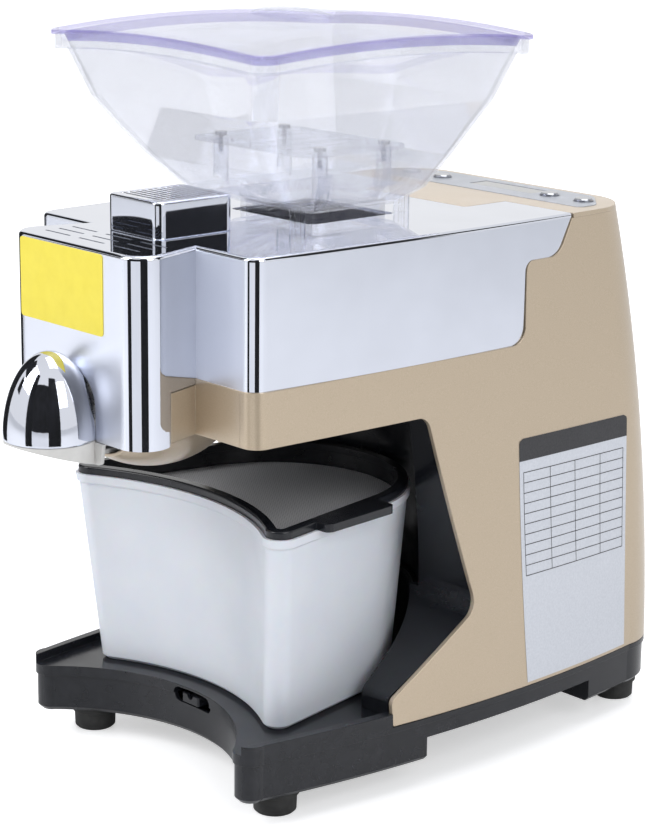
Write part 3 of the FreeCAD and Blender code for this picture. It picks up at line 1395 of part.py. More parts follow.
def hopper_form(inset, lift_floor):
    wires = []
    for height, half, front, rear, radius in hopper_levels():
        corners = [(inset - half, front + inset, radius - inset), (half - inset, front + inset, radius - inset),
                   (half - inset, rear - inset, radius - inset), (inset - half, rear - inset, radius - inset)]
        wires.append(rounded_wire(corners, "xy", height))
    block = Part.makeLoft(wires, True, True)
    return block.common(box(-200, 200, -200, 200, s.hopper_floor - s.hopper_wall + lift_floor, 500))


def crown_ball(depth):
    """The sphere whose top is the lid's surface, sunk by a depth."""
    centre = Vector(0, (s.hopper_front + s.hopper_rear) / 2, s.lid_crown - s.lid_sphere)
    return Part.makeSphere(s.lid_sphere - depth, centre)


def plan_plate(grow):
    """Upright block on the plan of the hopper's mouth, through the height of rim and lid."""
    low, high = s.lid_crown - 60, s.lid_crown + 20
    half, radius = s.hopper_half + grow, s.hopper_radius + grow
    front, rear = s.hopper_front - grow, s.hopper_rear + grow
    corners = [(-half, front, radius), (half, front, radius), (half, rear, radius), (-half, rear, radius)]
    return prism(rounded_wire(corners, "xy", low), high - low)


def make_hopper():
    """Clear seed hopper: curved walls, rim band, spout, four posts and four legs."""
    rim_depth = s.lid_thickness + 0.2
    ball = crown_ball(rim_depth)
    band = plan_plate(s.hopper_band_proud).common(ball).cut(crown_ball(rim_depth + s.hopper_band))
    inner = hopper_form(s.hopper_wall, s.hopper_wall)
    walls = hopper_form(0, 0).common(ball).fuse(band).cut(inner)
    spout = box(-s.spout_half_x, s.spout_half_x, -s.spout_half_y, s.spout_half_y, s.spout_bottom, s.hopper_floor)
    inside = box(s.hopper_wall - s.spout_half_x, s.spout_half_x - s.hopper_wall, s.hopper_wall - s.spout_half_y,
                 s.spout_half_y - s.hopper_wall, s.spout_bottom - 5, s.hopper_floor + 10)
    posts = []
    legs = []
    for side in (-1, 1):
        for y in (s.post_front, s.post_rear):
            post = rod((side * s.post_half_x, y, s.hopper_floor - 1), (0, 0, 1), s.post_radius,
                       s.guard_plate_level - s.hopper_floor + 1)
            posts.append(post)
        for y in (s.leg_front, s.leg_rear):
            legs.append(ribbed_leg(side * s.leg_half_x, y).cut(inner))
    outside = hopper_form(0.2, 0)
    posts = [post.common(outside) for post in posts]
    hopper = joined([walls, spout] + posts + legs).cut(inside)
    for side in (-1, 1):
        for y in (s.post_front, s.post_rear):
            hopper = hopper.cut(rod((side * s.post_half_x, y, s.guard_plate_level - 8), (0, 0, 1), 1.2, 20))
    shaped("hopper", hopper)


def ribbed_leg(x, y):
    """A short column with upright ribs all round, standing on the cover."""
    ribs = 12
    corners = []
    for step in range(2 * ribs):
        radius = s.leg_radius - (0.9 if step % 2 else 0)
        angle = math.pi * step / ribs
        corners.append(Vector(x + radius * math.cos(angle), y + radius * math.sin(angle), s.deck_level + 0.1))
    return prism(Part.makePolygon(corners + corners[:1]), s.hopper_floor - s.deck_level + 6)


def make_guard_plate():
    """Clear finger guard on the posts, with feed slots and four screws."""
    low = s.guard_plate_level + 0.05
    half = s.post_half_x + 10
    corners = [(-half, s.post_front - 16, 10), (half, s.post_front - 16, 10), (half, s.post_rear + 12, 10),
               (-half, s.post_rear + 12, 10)]
    plate = prism(rounded_wire(corners, "xy", low), s.guard_plate_thickness)
    for x in (-24, -8, 8, 24):
        slot = [(x - 5, s.post_front - 6, 4.9), (x + 5, s.post_front - 6, 4.9), (x + 5, s.post_rear + 4, 4.9),
                (x - 5, s.post_rear + 4, 4.9)]
        plate = plate.cut(prism(rounded_wire(slot, "xy", low - 5), 20))
    screws = []
    for side in (-1, 1):
        for y in (s.post_front, s.post_rear):
            x = side * s.post_half_x
            plate = plate.cut(rod((x, y, low - 5), (0, 0, 1), 1.2, 20))
            head = rod((x, y, low + s.guard_plate_thickness), (0, 0, 1), 3.4, 2.2)
            screws.append(head.fuse(rod((x, y, s.guard_plate_level - 7), (0, 0, 1), 1.15, 10)))
    shaped("guard_plate", plate)
    shaped("guard_screws", Part.makeCompound(screws))


def make_hopper_lid():
    """Clear crowned lid with a rib that drops inside the rim, and an oval grip."""
    grow = s.lid_proud + s.hopper_band_proud
    skin = plan_plate(grow).common(crown_ball(0)).cut(crown_ball(s.lid_thickness))
    inner = s.hopper_wall + s.lid_gap
    rib = hopper_form(inner, s.hopper_wall).cut(hopper_form(inner + 1.8, 0))
    rib = rib.common(crown_ball(0.5)).cut(crown_ball(s.lid_thickness + s.lid_rib_height))
    centre = Vector(0, (s.hopper_front + s.hopper_rear) / 2, s.lid_crown - 1.5)
    grip = Part.makeSphere(1.0)
    matrix = FreeCAD.Matrix()
    matrix.scale(Vector(s.grip_length / 2, s.grip_width / 2, s.grip_height + 1.5))
    grip = grip.transformGeometry(matrix).translated(centre)
    grip = grip.common(box(-200, 200, -200, 200, s.lid_crown - 1.2, s.lid_crown + 50))
    shaped("hopper_lid", joined([skin, rib, grip]))


# Oil container


def make_oil_container():
    """Translucent container with a tapered wall and a sloped bottom edge."""
    slope = 2.0
    low = s.tank_bottom
    skirt = Part.makeLoft([tank_plan(low, -slope), tank_plan(low + slope, 0)], True, True)
    lip_low = s.tank_top - s.tank_lip_height
    flare = Part.makeLoft([tank_plan(lip_low, 0), tank_plan(lip_low + 1.5, s.tank_lip)], True, True)
    lip = tank_block(s.tank_lip, lip_low + 1.5, s.tank_top)
    outer = skirt.fuse([tank_block(0, low + slope, lip_low), flare, lip])
    inner = tank_block(-s.tank_wall, low + s.tank_wall, s.tank_top)
    shaped("oil_container", outer.cut(inner).removeSplitter())


def make_strainer():
    """Black frame on the container's lip, with a skirt that hangs inside and a side tab."""
    top = s.tank_top
    flat = prism(tank_plan(top, -0.2).translated(Vector(0, 0, 0.1)), s.strainer_rim)
    edges = [e for e in flat.Edges if all(abs(v.Point.z - top - 0.1 - s.strainer_rim) < 0.01 for v in e.Vertexes)]
    flat = flat.makeFillet(1.2, edges)
    hole = prism(tank_plan(top, -6.0).translated(Vector(0, 0, -20)), 60)
    drop = -s.tank_wall - s.strainer_gap
    skirt = tank_block(drop, top - s.strainer_depth, top + 1)
    skirt = skirt.cut(tank_block(drop - 2.0, top - s.strainer_depth - 5, top + 20))
    ledge_top = s.strainer_mesh_level
    ledge = tank_block(drop - 1.0, ledge_top - 1.6, ledge_top)
    ledge = ledge.cut(tank_block(drop - 5.0, ledge_top - 5, ledge_top + 5))
    reach = s.tank_top_half + s.tab_reach
    tab = [(60, s.tab_front, 0), (reach - 8, s.tab_front, 4), (reach - 14, s.tab_rear, 4), (60, s.tab_rear, 0)]
    tab = prism(rounded_wire(tab, "xy", top + 0.1), s.strainer_rim)
    frame = joined([flat.cut(hole), tab.cut(hole), skirt, ledge])
    shaped("strainer_frame", frame)
    mesh = tank_block(drop - 2.6, ledge_top, ledge_top + s.mesh_thickness)
    shaped("strainer_mesh", mesh)


# Build


def build():
    make_base_tray()
    make_base_tub()
    make_tray_hook()
    make_feet()
    make_gold_body(gold_shell())
    make_cover_screws()
    make_control_panel()
    make_circuit_board()
    make_column_cover()
    make_underside_cover()
    make_chrome_cover()
    make_cover_cap()
    make_outlet_hood()
    make_outlet_chute()
    make_barrel()
    make_press_screw()
    make_press_fittings()
    make_feed_neck()
    make_gears()
    make_gearbox()
    make_bearings()
    make_motor()
    make_drive_stand()
    make_rear_fittings()
    make_hopper()
    make_guard_plate()
    make_hopper_lid()
    make_oil_container()
    make_strainer()


def check_and_write():
    """Stops on a failed object or a bad shape, and writes one file for each sub-part."""
    doc.recompute()
    failed = [item.Name for item in doc.Objects if {"Invalid", "Error"} & set(item.State)]
    if failed:
        raise RuntimeError(f"failed objects: {failed}")
    bad = [node.Label for node in NODES if node.Shape.isNull() or not node.Shape.isValid()]
    if bad:
        raise RuntimeError(f"bad shapes: {bad}")
    for node in NODES:
        node.Shape.exportStep(f"parts/{node.Label}.step")
    print(len(NODES), "sub-parts")


build()
check_and_write()
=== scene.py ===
import json
import math

import bmesh
import bpy
import numpy
from mathutils import Matrix, Vector
from mathutils.bvhtree import BVHTree


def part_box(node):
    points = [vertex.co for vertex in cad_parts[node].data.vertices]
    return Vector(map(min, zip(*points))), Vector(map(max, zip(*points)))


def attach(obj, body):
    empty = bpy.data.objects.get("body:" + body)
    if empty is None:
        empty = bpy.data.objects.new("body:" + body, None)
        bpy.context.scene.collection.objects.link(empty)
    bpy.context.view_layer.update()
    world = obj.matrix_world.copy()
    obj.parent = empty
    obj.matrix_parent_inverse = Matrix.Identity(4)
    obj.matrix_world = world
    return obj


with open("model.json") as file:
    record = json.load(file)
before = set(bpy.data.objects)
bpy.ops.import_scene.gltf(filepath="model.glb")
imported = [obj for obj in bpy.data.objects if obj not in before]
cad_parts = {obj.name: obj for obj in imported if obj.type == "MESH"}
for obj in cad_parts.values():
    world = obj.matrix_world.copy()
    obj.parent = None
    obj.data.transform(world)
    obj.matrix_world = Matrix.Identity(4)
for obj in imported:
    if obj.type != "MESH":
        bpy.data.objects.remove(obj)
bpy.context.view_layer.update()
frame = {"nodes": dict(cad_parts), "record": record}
nodes = frame["nodes"]
MM = 0.001


# Camera: the photograph's viewpoint

CAMERA_PLACE = Vector((1.0129, -0.8922, 0.5314))
CAMERA_AZIMUTH = math.radians(48.1756)
CAMERA_ELEVATION = math.radians(14.1871)
CAMERA_ROLL = math.radians(0.6222)
CAMERA_LENS = 105.36


def make_camera():
    turn, rise, roll = CAMERA_AZIMUTH, CAMERA_ELEVATION, CAMERA_ROLL
    right = Vector((math.cos(turn), math.sin(turn), 0))
    back = Vector((math.sin(turn) * math.cos(rise), -math.cos(turn) * math.cos(rise),
                   math.sin(rise)))
    up = back.cross(right)
    rolled_right = right * math.cos(roll) + up * math.sin(roll)
    rolled_up = up * math.cos(roll) - right * math.sin(roll)
    data = bpy.data.cameras.new("camera")
    data.lens = CAMERA_LENS
    data.sensor_width = 36
    data.sensor_fit = "AUTO"
    data.clip_start = 0.05
    camera = bpy.data.objects.new("camera", data)
    basis = Matrix((rolled_right, rolled_up, back)).transposed().to_4x4()
    camera.matrix_world = Matrix.Translation(CAMERA_PLACE) @ basis
    bpy.context.scene.collection.objects.link(camera)
    bpy.context.scene.camera = camera


make_camera()
bpy.context.scene.view_settings.view_transform = "Standard"


# Materials

BRIGHT_CHROME = (0.655, 0.68, 0.755)
BUTTON_CHROME = (0.33, 0.34, 0.37)
CLEAR_TINT = (0.95, 0.955, 0.985)
# Lavender edge glow for the lid's upright faces: the plastic's own tint, painted stronger as painted
# light for light running lengthways through the wall
LID_PAINTED_EDGE_GLOW = (0.68, 0.65, 0.87)

# World Y of the normal up to which the cover's front is fully satin and painted brighter (painted
# light), and from which it is a mirror
SATIN_END, MIRROR_START = -0.998, -0.97
SATIN_ROUGH, MIRROR_ROUGH = 0.38, 0.03
# How many times brighter the satin front's colour is painted: painted light on the front of the
# cover
SATIN_FRONT_PAINTED_LIGHT = 1.24

# Steepness of a clear face, as world Z of its normal: all painted edge glow, and no painted edge
# glow
EDGE_FACE, FLAT_FACE = 0.35, 0.75
CLEAR_SHARE = 0.7


class Look:
    """A material with a principled shader, and short calls for the nodes around it."""

    def __init__(self, name, colour, rough, metal=0.0):
        self.material = bpy.data.materials.new(name)
        self.material.use_nodes = True
        self.tree = self.material.node_tree
        self.shader = self.tree.nodes["Principled BSDF"]
        self.output = self.tree.nodes["Material Output"]
        self.set(base_color=(*colour, 1), roughness=rough, metallic=metal)
        self.place = self.add("TexCoord").outputs["Object"]
        self.normal = None

    def add(self, kind, **settings):
        node = self.tree.nodes.new("ShaderNode" + kind)
        for key, value in settings.items():
            setattr(node, key, value)
        return node

    def link(self, start, end):
        self.tree.links.new(start, end)

    def set(self, **values):
        """Sets sockets of the shader, each named in lower case with underscores."""
        for key, value in values.items():
            socket = key.replace("_", " ").title().replace("Ior", "IOR")
            self.shader.inputs[socket].default_value = value

    def noise(self, scale, detail=2.0, stretch=(1, 1, 1)):
        mapping = self.add("Mapping")
        mapping.inputs["Scale"].default_value = stretch
        texture = self.add("TexNoise")
        texture.inputs["Scale"].default_value = scale
        texture.inputs["Detail"].default_value = detail
        self.link(self.place, mapping.inputs["Vector"])
        self.link(mapping.outputs["Vector"], texture.inputs["Vector"])
        return texture.outputs["Fac"]

    def facing(self, axis):
        """How much the surface faces along a world axis, from -1 to 1."""
        parts = self.add("SeparateXYZ")
        self.link(self.add("NewGeometry").outputs["Normal"], parts.inputs["Vector"])
        return parts.outputs[axis]

    def span(self, value, low, high, start=0.3, end=0.7):
        """Maps a value from start to end onto low to high; the defaults suit a noise."""
        node = self.add("MapRange")
        node.inputs["From Min"].default_value = start
        node.inputs["From Max"].default_value = end
        node.inputs["To Min"].default_value = low
        node.inputs["To Max"].default_value = high
        self.link(value, node.inputs["Value"])
        return node.outputs["Result"]

    def tint(self, value, dark, light):
        """Base colour that varies between two tones with a value."""
        mix = self.add("Mix", data_type="RGBA")
        mix.inputs["A"].default_value = (*dark, 1)
        mix.inputs["B"].default_value = (*light, 1)
        self.link(value, mix.inputs["Factor"])
        self.link(mix.outputs["Result"], self.shader.inputs["Base Color"])
        return mix

    def mottle(self, scale, detail, dark, light):
        """Base colour that varies between two tones with a noise."""
        return self.tint(self.span(self.noise(scale, detail), 0, 1), dark, light)

    def roughness(self, value, low, high):
        self.link(self.span(value, low, high), self.shader.inputs["Roughness"])

    def bump(self, value, depth, strength=1.0):
        node = self.add("Bump")
        node.inputs["Distance"].default_value = depth
        node.inputs["Strength"].default_value = strength
        self.link(value, node.inputs["Height"])
        if self.normal is not None:
            self.link(self.normal, node.inputs["Normal"])
        self.normal = node.outputs["Normal"]
        self.link(self.normal, self.shader.inputs["Normal"])

    def soft_edges(self, radius, samples=6):
        """Catches light on the edges, as moulded and painted edges do."""
        node = self.add("Bevel", samples=samples)
        node.inputs["Radius"].default_value = radius
        self.normal = node.outputs["Normal"]
        self.link(self.normal, self.shader.inputs["Normal"])


def shade(colour, factor):
    return tuple(channel * factor for channel in colour)


def gold_paint():
    look = Look("gold_paint", (0.49, 0.40, 0.295), 0.32, 0.55)
    look.soft_edges(0.9 * MM)
    look.mottle(2600, 1.0, (0.455, 0.37, 0.268), (0.53, 0.435, 0.325))
    look.roughness(look.noise(30, 4.0), 0.30, 0.38)
    look.bump(look.noise(900, 2.0), 0.012 * MM, 0.5)
    look.set(coat_weight=0.35, coat_roughness=0.10)
    return look.material


def chrome(name, colour, edge=0.0, satin_and_painted_light_front=False):
    """Bright chrome; its flat front may be satin, with its colour painted brighter there as painted
    light, while corners and sides stay mirror bright.
    """
    look = Look(name, colour, 0.035, 1.0)
    if edge:
        look.soft_edges(edge, 12)
    mirror = look.mottle(25, 2.0, shade(colour, 0.97), shade(colour, 1.03))
    if satin_and_painted_light_front:
        ahead = look.facing("Y")
        rough = look.span(ahead, SATIN_ROUGH, MIRROR_ROUGH, SATIN_END, MIRROR_START)
        look.link(rough, look.shader.inputs["Roughness"])
        # Painted light: the satin front's colour is painted brighter than the mirror chrome around
        # it.
        amount = look.span(ahead, 0, 1, SATIN_END, MIRROR_START)
        painted_light_tint = look.tint(amount, shade(colour, SATIN_FRONT_PAINTED_LIGHT), colour)
        look.link(mirror.outputs["Result"], painted_light_tint.inputs["B"])
    else:
        look.roughness(look.noise(60, 3.0), 0.02, 0.05)
    look.bump(look.noise(26, 1.0), 0.10 * MM, 0.5)
    return look.material


def black_plastic():
    look = Look("black_plastic", (0.010, 0.011, 0.014), 0.2)
    look.soft_edges(0.6 * MM)
    look.set(specular_ior_level=0.38)
    look.mottle(120, 3.0, (0.008, 0.009, 0.012), (0.014, 0.015, 0.019))
    look.roughness(look.noise(45, 4.0), 0.15, 0.28)
    look.bump(look.noise(1500, 2.0), 0.015 * MM, 0.3)
    return look.material


def rubber():
    look = Look("rubber_black", (0.02, 0.02, 0.02), 0.7)
    look.soft_edges(0.5 * MM)
    look.mottle(200, 4.0, (0.014, 0.014, 0.014), (0.028, 0.028, 0.027))
    look.roughness(look.noise(90, 3.0), 0.6, 0.8)
    look.bump(look.noise(1100, 3.0), 0.03 * MM, 0.6)
    return look.material


def grey_panel():
    look = Look("grey_panel", (0.36, 0.375, 0.405), 0.35, 0.3)
    look.set(specular_ior_level=0.3)
    look.soft_edges(0.3 * MM)
    look.mottle(1800, 1.0, (0.33, 0.345, 0.375), (0.39, 0.405, 0.435))
    look.roughness(look.noise(50, 2.0), 0.3, 0.4)
    return look.material


def see_through(look, share, shade_of_shadow, shade_of_light):
    """Lets a share of the light straight through a thin clear wall, so that it stays pale.

    Its shadow is faint, too. The node that colours the light is given back.
    """
    path = look.add("LightPath")
    clear = look.add("BsdfTransparent")
    clear.inputs["Color"].default_value = (*shade_of_light, 1)
    thin = look.add("MixShader")
    thin.inputs["Fac"].default_value = share
    look.link(look.shader.outputs["BSDF"], thin.inputs[1])
    look.link(clear.outputs["BSDF"], thin.inputs[2])
    shadow = look.add("BsdfTransparent")
    shadow.inputs["Color"].default_value = (*shade_of_shadow, 1)
    mix = look.add("MixShader")
    look.link(path.outputs["Is Shadow Ray"], mix.inputs["Fac"])
    look.link(thin.outputs["Shader"], mix.inputs[1])
    look.link(shadow.outputs["BSDF"], mix.inputs[2])
    look.link(mix.outputs["Shader"], look.output.inputs["Surface"])
    return clear


def clear_plastic(name, painted_edge_glow=None):
    """Clear moulded plastic; on upright faces an edge glow may be painted: the plastic's own
    lavender tint, made stronger as painted light where light runs lengthways.
    """
    look = Look(name, CLEAR_TINT, 0.02)
    look.set(transmission_weight=1.0, ior=1.35)
    look.roughness(look.noise(70, 3.0), 0.005, 0.03)
    look.bump(look.noise(22, 1.0), 0.05 * MM, 0.3)
    clear = see_through(look, CLEAR_SHARE, (0.95, 0.95, 0.975), (0.955, 0.96, 0.98))
    # Painted light: upright faces tint the light through them with the painted edge glow.
    if painted_edge_glow:
        level = look.add("Math", operation="ABSOLUTE")
        look.link(look.facing("Z"), level.inputs[0])
        flatness = look.span(level.outputs["Value"], 0, 1, EDGE_FACE, FLAT_FACE)
        mix = look.tint(flatness, painted_edge_glow, CLEAR_TINT)
        look.link(mix.outputs["Result"], clear.inputs["Color"])
    volume = look.add("VolumeAbsorption")
    volume.inputs["Color"].default_value = (0.66, 0.64, 0.95, 1)
    volume.inputs["Density"].default_value = 1.5
    look.link(volume.outputs["Volume"], look.output.inputs["Volume"])
    return look.material


def white_translucent():
    look = Look("white_translucent", (0.88, 0.90, 0.97), 0.34)
    look.mottle(35, 3.0, (0.86, 0.885, 0.96), (0.90, 0.92, 0.985))
    look.roughness(look.noise(60, 3.0), 0.28, 0.42)
    look.bump(look.noise(700, 2.0), 0.02 * MM, 0.4)
    look.set(transmission_weight=0.3, ior=1.48, subsurface_weight=0.15, subsurface_scale=0.004)
    return look.material


def pale_plastic():
    look = Look("pale_plastic", (0.62, 0.61, 0.59), 0.5)
    look.soft_edges(0.4 * MM)
    look.mottle(90, 3.0, (0.58, 0.57, 0.55), (0.66, 0.65, 0.63))
    look.bump(look.noise(600, 2.0), 0.02 * MM, 0.4)
    return look.material


def steel(name, colour, rough):
    """Metal brushed along Y."""
    look = Look(name, colour, rough, 1.0)
    look.soft_edges(0.3 * MM)
    brushed = look.noise(900, 3.0, (1, 0.06, 1))
    look.tint(look.span(brushed, 0, 1), shade(colour, 0.9), shade(colour, 1.1))
    look.roughness(brushed, rough - 0.06, rough + 0.1)
    look.bump(brushed, 0.01 * MM, 0.5)
    return look.material


def cast_metal():
    look = Look("cast_metal", (0.28, 0.28, 0.29), 0.55, 0.8)
    look.soft_edges(0.8 * MM)
    grains = look.noise(500, 5.0)
    look.tint(look.span(grains, 0, 1), (0.23, 0.23, 0.24), (0.33, 0.33, 0.34))
    look.bump(grains, 0.15 * MM, 0.7)
    return look.material


def board_green():
    look = Look("board_green", (0.03, 0.16, 0.07), 0.4)
    look.mottle(400, 2.0, (0.02, 0.12, 0.05), (0.04, 0.2, 0.09))
    look.bump(look.noise(1400, 1.0), 0.03 * MM, 0.4)
    return look.material


def screen_black():
    look = Look("screen_black", (0.01, 0.012, 0.015), 0.08)
    look.mottle(40, 2.0, (0.008, 0.010, 0.012), (0.016, 0.018, 0.022))
    look.set(coat_weight=0.8, coat_roughness=0.03)
    return look.material


def woven_mesh():
    """Fine wire cloth: crossed bright wires, with the holes between them painted darker as painted
    shade for the shaded space seen through them.
    """
    look = Look("woven_mesh", (0.24, 0.24, 0.25), 0.5, 0.2)
    highest = look.add("Math", operation="MAXIMUM")
    for index, direction in enumerate(("X", "Y")):
        wave = look.add("TexWave", wave_type="BANDS", bands_direction=direction, wave_profile="SIN")
        wave.inputs["Scale"].default_value = 180
        look.link(look.place, wave.inputs["Vector"])
        look.link(wave.outputs["Fac"], highest.inputs[index])
    wires = highest.outputs["Value"]
    # Painted shade: the holes between the wires get the darker tone.
    look.tint(look.span(wires, 0, 1, 0.45, 0.9), (0.40, 0.40, 0.41), (0.84, 0.84, 0.86))
    look.bump(wires, 0.15 * MM, 0.6)
    return look.material


def yellow_plate():
    look = Look("yellow_plate", (0.79, 0.665, 0.065), 0.42)
    look.mottle(140, 3.0, (0.77, 0.645, 0.06), (0.81, 0.685, 0.07))
    look.roughness(look.noise(60, 3.0), 0.3, 0.45)
    return look.material


def sheet_silver():
    look = Look("sheet_silver", (0.58, 0.60, 0.65), 0.4)
    look.mottle(800, 2.0, (0.55, 0.57, 0.62), (0.61, 0.63, 0.68))
    look.roughness(look.noise(60, 3.0), 0.35, 0.5)
    return look.material


def sheet_ink():
    look = Look("sheet_ink", (0.022, 0.022, 0.026), 0.3)
    look.mottle(900, 2.0, (0.016, 0.016, 0.019), (0.03, 0.03, 0.034))
    look.roughness(look.noise(60, 3.0), 0.35, 0.5)
    return look.material


LOOKS = {
    "gold_paint": gold_paint(),
    "chrome": chrome("chrome", BRIGHT_CHROME, 1.4 * MM),
    "black_plastic": black_plastic(),
    "grey_panel": grey_panel(),
    "clear_plastic": clear_plastic("clear_plastic"),
    "white_translucent": white_translucent(),
    "pale_plastic": pale_plastic(),
    "rubber_black": rubber(),
    "steel": steel("steel", (0.5, 0.5, 0.51), 0.28),
    "cast_metal": cast_metal(),
    "gear_steel": steel("gear_steel", (0.42, 0.42, 0.44), 0.35),
    "board_green": board_green(),
    "screen_black": screen_black(),
    "button_metal": chrome("button_metal", BUTTON_CHROME, 0.4 * MM),
}
MESH_LOOK = woven_mesh()
PLATE_LOOK = yellow_plate()
SHEET_LOOK = sheet_silver()
INK_LOOK = sheet_ink()
COVER_LOOK = chrome("chrome_cover", BRIGHT_CHROME, satin_and_painted_light_front=True)
LID_LOOK = clear_plastic("clear_lid", LID_PAINTED_EDGE_GLOW)
OWN_LOOKS = {"strainer_mesh": MESH_LOOK, "hopper_lid": LID_LOOK, "chrome_cover": COVER_LOOK}


def dress_nodes():
    """Gives every carried-over solid its material."""
    slots = {entry["node"]: entry["material_slot"] for entry in frame["record"]["subparts"]}
    for name, node in nodes.items():
        material = OWN_LOOKS.get(name, LOOKS[slots[name]])
        node.data.materials.clear()
        node.data.materials.append(material)


dress_nodes()


# Added pieces


def new_piece(name, mesh, material, body):
    piece = bpy.data.objects.new(name, mesh)
    mesh.materials.append(material)
    bpy.context.scene.collection.objects.link(piece)
    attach(piece, body)


def to_mesh(name, form):
    mesh = bpy.data.meshes.new(name)
    form.to_mesh(mesh)
    form.free()
    return mesh


def skin(name, rows, flip=False):
    """A smooth mesh through rows of points."""
    form = bmesh.new()
    grid = [[form.verts.new(point) for point in row] for row in rows]
    for lower, upper in zip(grid, grid[1:]):
        for column in range(len(lower) - 1):
            form.faces.new((lower[column], lower[column + 1], upper[column + 1], upper[column]))
    if flip:
        bmesh.ops.reverse_faces(form, faces=form.faces)
    for face in form.faces:
        face.smooth = True
    return to_mesh(name, form)


def rounded_corners(half_width, half_height, radius, steps=6):
    """Outline of a rounded rectangle about the origin."""
    points = []
    for corner, (sx, sy) in enumerate(((1, 1), (-1, 1), (-1, -1), (1, -1))):
        for step in range(steps + 1):
            angle = math.pi / 2 * (corner + step / steps)
            points.append((sx * (half_width - radius) + radius * math.cos(angle),
                           sy * (half_height - radius) + radius * math.sin(angle)))
    return points


PLATE_LEFT, PLATE_RIGHT = -45 * MM, 28 * MM
PLATE_BOTTOM, PLATE_TOP = 263 * MM, 306 * MM
PLATE_THICKNESS = 0.35 * MM
PLATE_GAP = 0.02 * MM
PLATE_CORNER = 2 * MM


def front_plate():
    """Bare yellow plate on the front of the cover's nose."""
    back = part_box("chrome_cover")[0].y - PLATE_GAP
    centre = Vector(((PLATE_LEFT + PLATE_RIGHT) / 2, back, (PLATE_BOTTOM + PLATE_TOP) / 2))
    half_width, half_height = (PLATE_RIGHT - PLATE_LEFT) / 2, (PLATE_TOP - PLATE_BOTTOM) / 2
    form = bmesh.new()
    outline = rounded_corners(half_width, half_height, PLATE_CORNER)
    face = form.faces.new([form.verts.new(centre + Vector((x, 0, z))) for x, z in outline])
    moved = bmesh.ops.extrude_face_region(form, geom=[face])
    for item in moved["geom"]:
        if isinstance(item, bmesh.types.BMVert):
            item.co.y -= PLATE_THICKNESS
    bmesh.ops.recalc_face_normals(form, faces=form.faces)
    new_piece("front_plate", to_mesh("front_plate", form), PLATE_LOOK, "cover")


def side_surface():
    """Finds the outer face of the right-hand gold side."""
    mesh = nodes["side_panel_right"].data
    corners = [vertex.co.copy() for vertex in mesh.vertices]
    return BVHTree.FromPolygons(corners, [tuple(face.vertices) for face in mesh.polygons])


SIDE = side_surface()
RAY_START = 0.3


def on_side(y, z, proud):
    """The point of the right-hand side at a place, standing proud of it."""
    hit, normal, _, _ = SIDE.ray_cast(Vector((RAY_START, y, z)), Vector((-1, 0, 0)))
    if normal.x < 0:
        normal = -normal
    return hit + normal * proud


def patch_on_side(name, y_span, z_span, proud, material, round_top=0.0, columns=24, rows=30):
    """A thin skin on the right-hand side that follows its curve; its top corners may be round."""
    (y_low, y_high), (z_low, z_high) = y_span, z_span
    grid = []
    for row in range(rows + 1):
        z = z_low + (z_high - z_low) * row / rows
        inset = 0.0
        if round_top and z > z_high - round_top:
            inset = round_top - math.sqrt(max(round_top ** 2 - (z - z_high + round_top) ** 2, 0))
        width = y_high - y_low - 2 * inset
        places = [y_low + inset + width * column / columns for column in range(columns + 1)]
        grid.append([on_side(y, z, proud) for y in places])
    new_piece(name, skin(name, grid), material, "frame")


SHEET_FRONT, SHEET_REAR = 68 * MM, 160 * MM
SHEET_BOTTOM, SHEET_TOP = 42.5 * MM, 184 * MM
SHEET_CORNER = 3 * MM
SHEET_PROUD, INK_PROUD = 0.15 * MM, 0.25 * MM
HEADER = 13 * MM
TABLE_FRONT, TABLE_REAR = 71 * MM, 157 * MM
TABLE_BOTTOM, TABLE_TOP = 104 * MM, 164.4 * MM
RULE_COUNT, RULE_PITCH, RULE_WIDTH = 11, 6 * MM, 0.45 * MM
COLUMN_WIDTH = 0.4 * MM
COLUMN_PLACES_MM = (71, 93, 114, 136, 156.6)


def side_sheet():
    """Silver sheet with a dark header and an empty ruled table."""
    across = (SHEET_FRONT, SHEET_REAR)
    patch_on_side("side_sheet", across, (SHEET_BOTTOM, SHEET_TOP), SHEET_PROUD, SHEET_LOOK,
                  SHEET_CORNER)
    patch_on_side("side_sheet_header", across, (SHEET_TOP - HEADER, SHEET_TOP), INK_PROUD, INK_LOOK,
                  SHEET_CORNER, rows=10)
    for index in range(RULE_COUNT):
        z = TABLE_BOTTOM + index * RULE_PITCH
        patch_on_side(f"side_sheet_rule_{index}", (TABLE_FRONT, TABLE_REAR), (z, z + RULE_WIDTH),
                      INK_PROUD, INK_LOOK, rows=1)
    for index, place in enumerate(COLUMN_PLACES_MM):
        y = place * MM
        patch_on_side(f"side_sheet_column_{index}", (y, y + COLUMN_WIDTH),
                      (TABLE_BOTTOM, TABLE_TOP), INK_PROUD, INK_LOOK, columns=1, rows=24)


EDGE_RADIUS = 2.4 * MM
EDGE_LIFT = 0.03 * MM
EDGE_OUTSIDE = 93.85 * MM
SAME_HEIGHT = 0.05 * MM


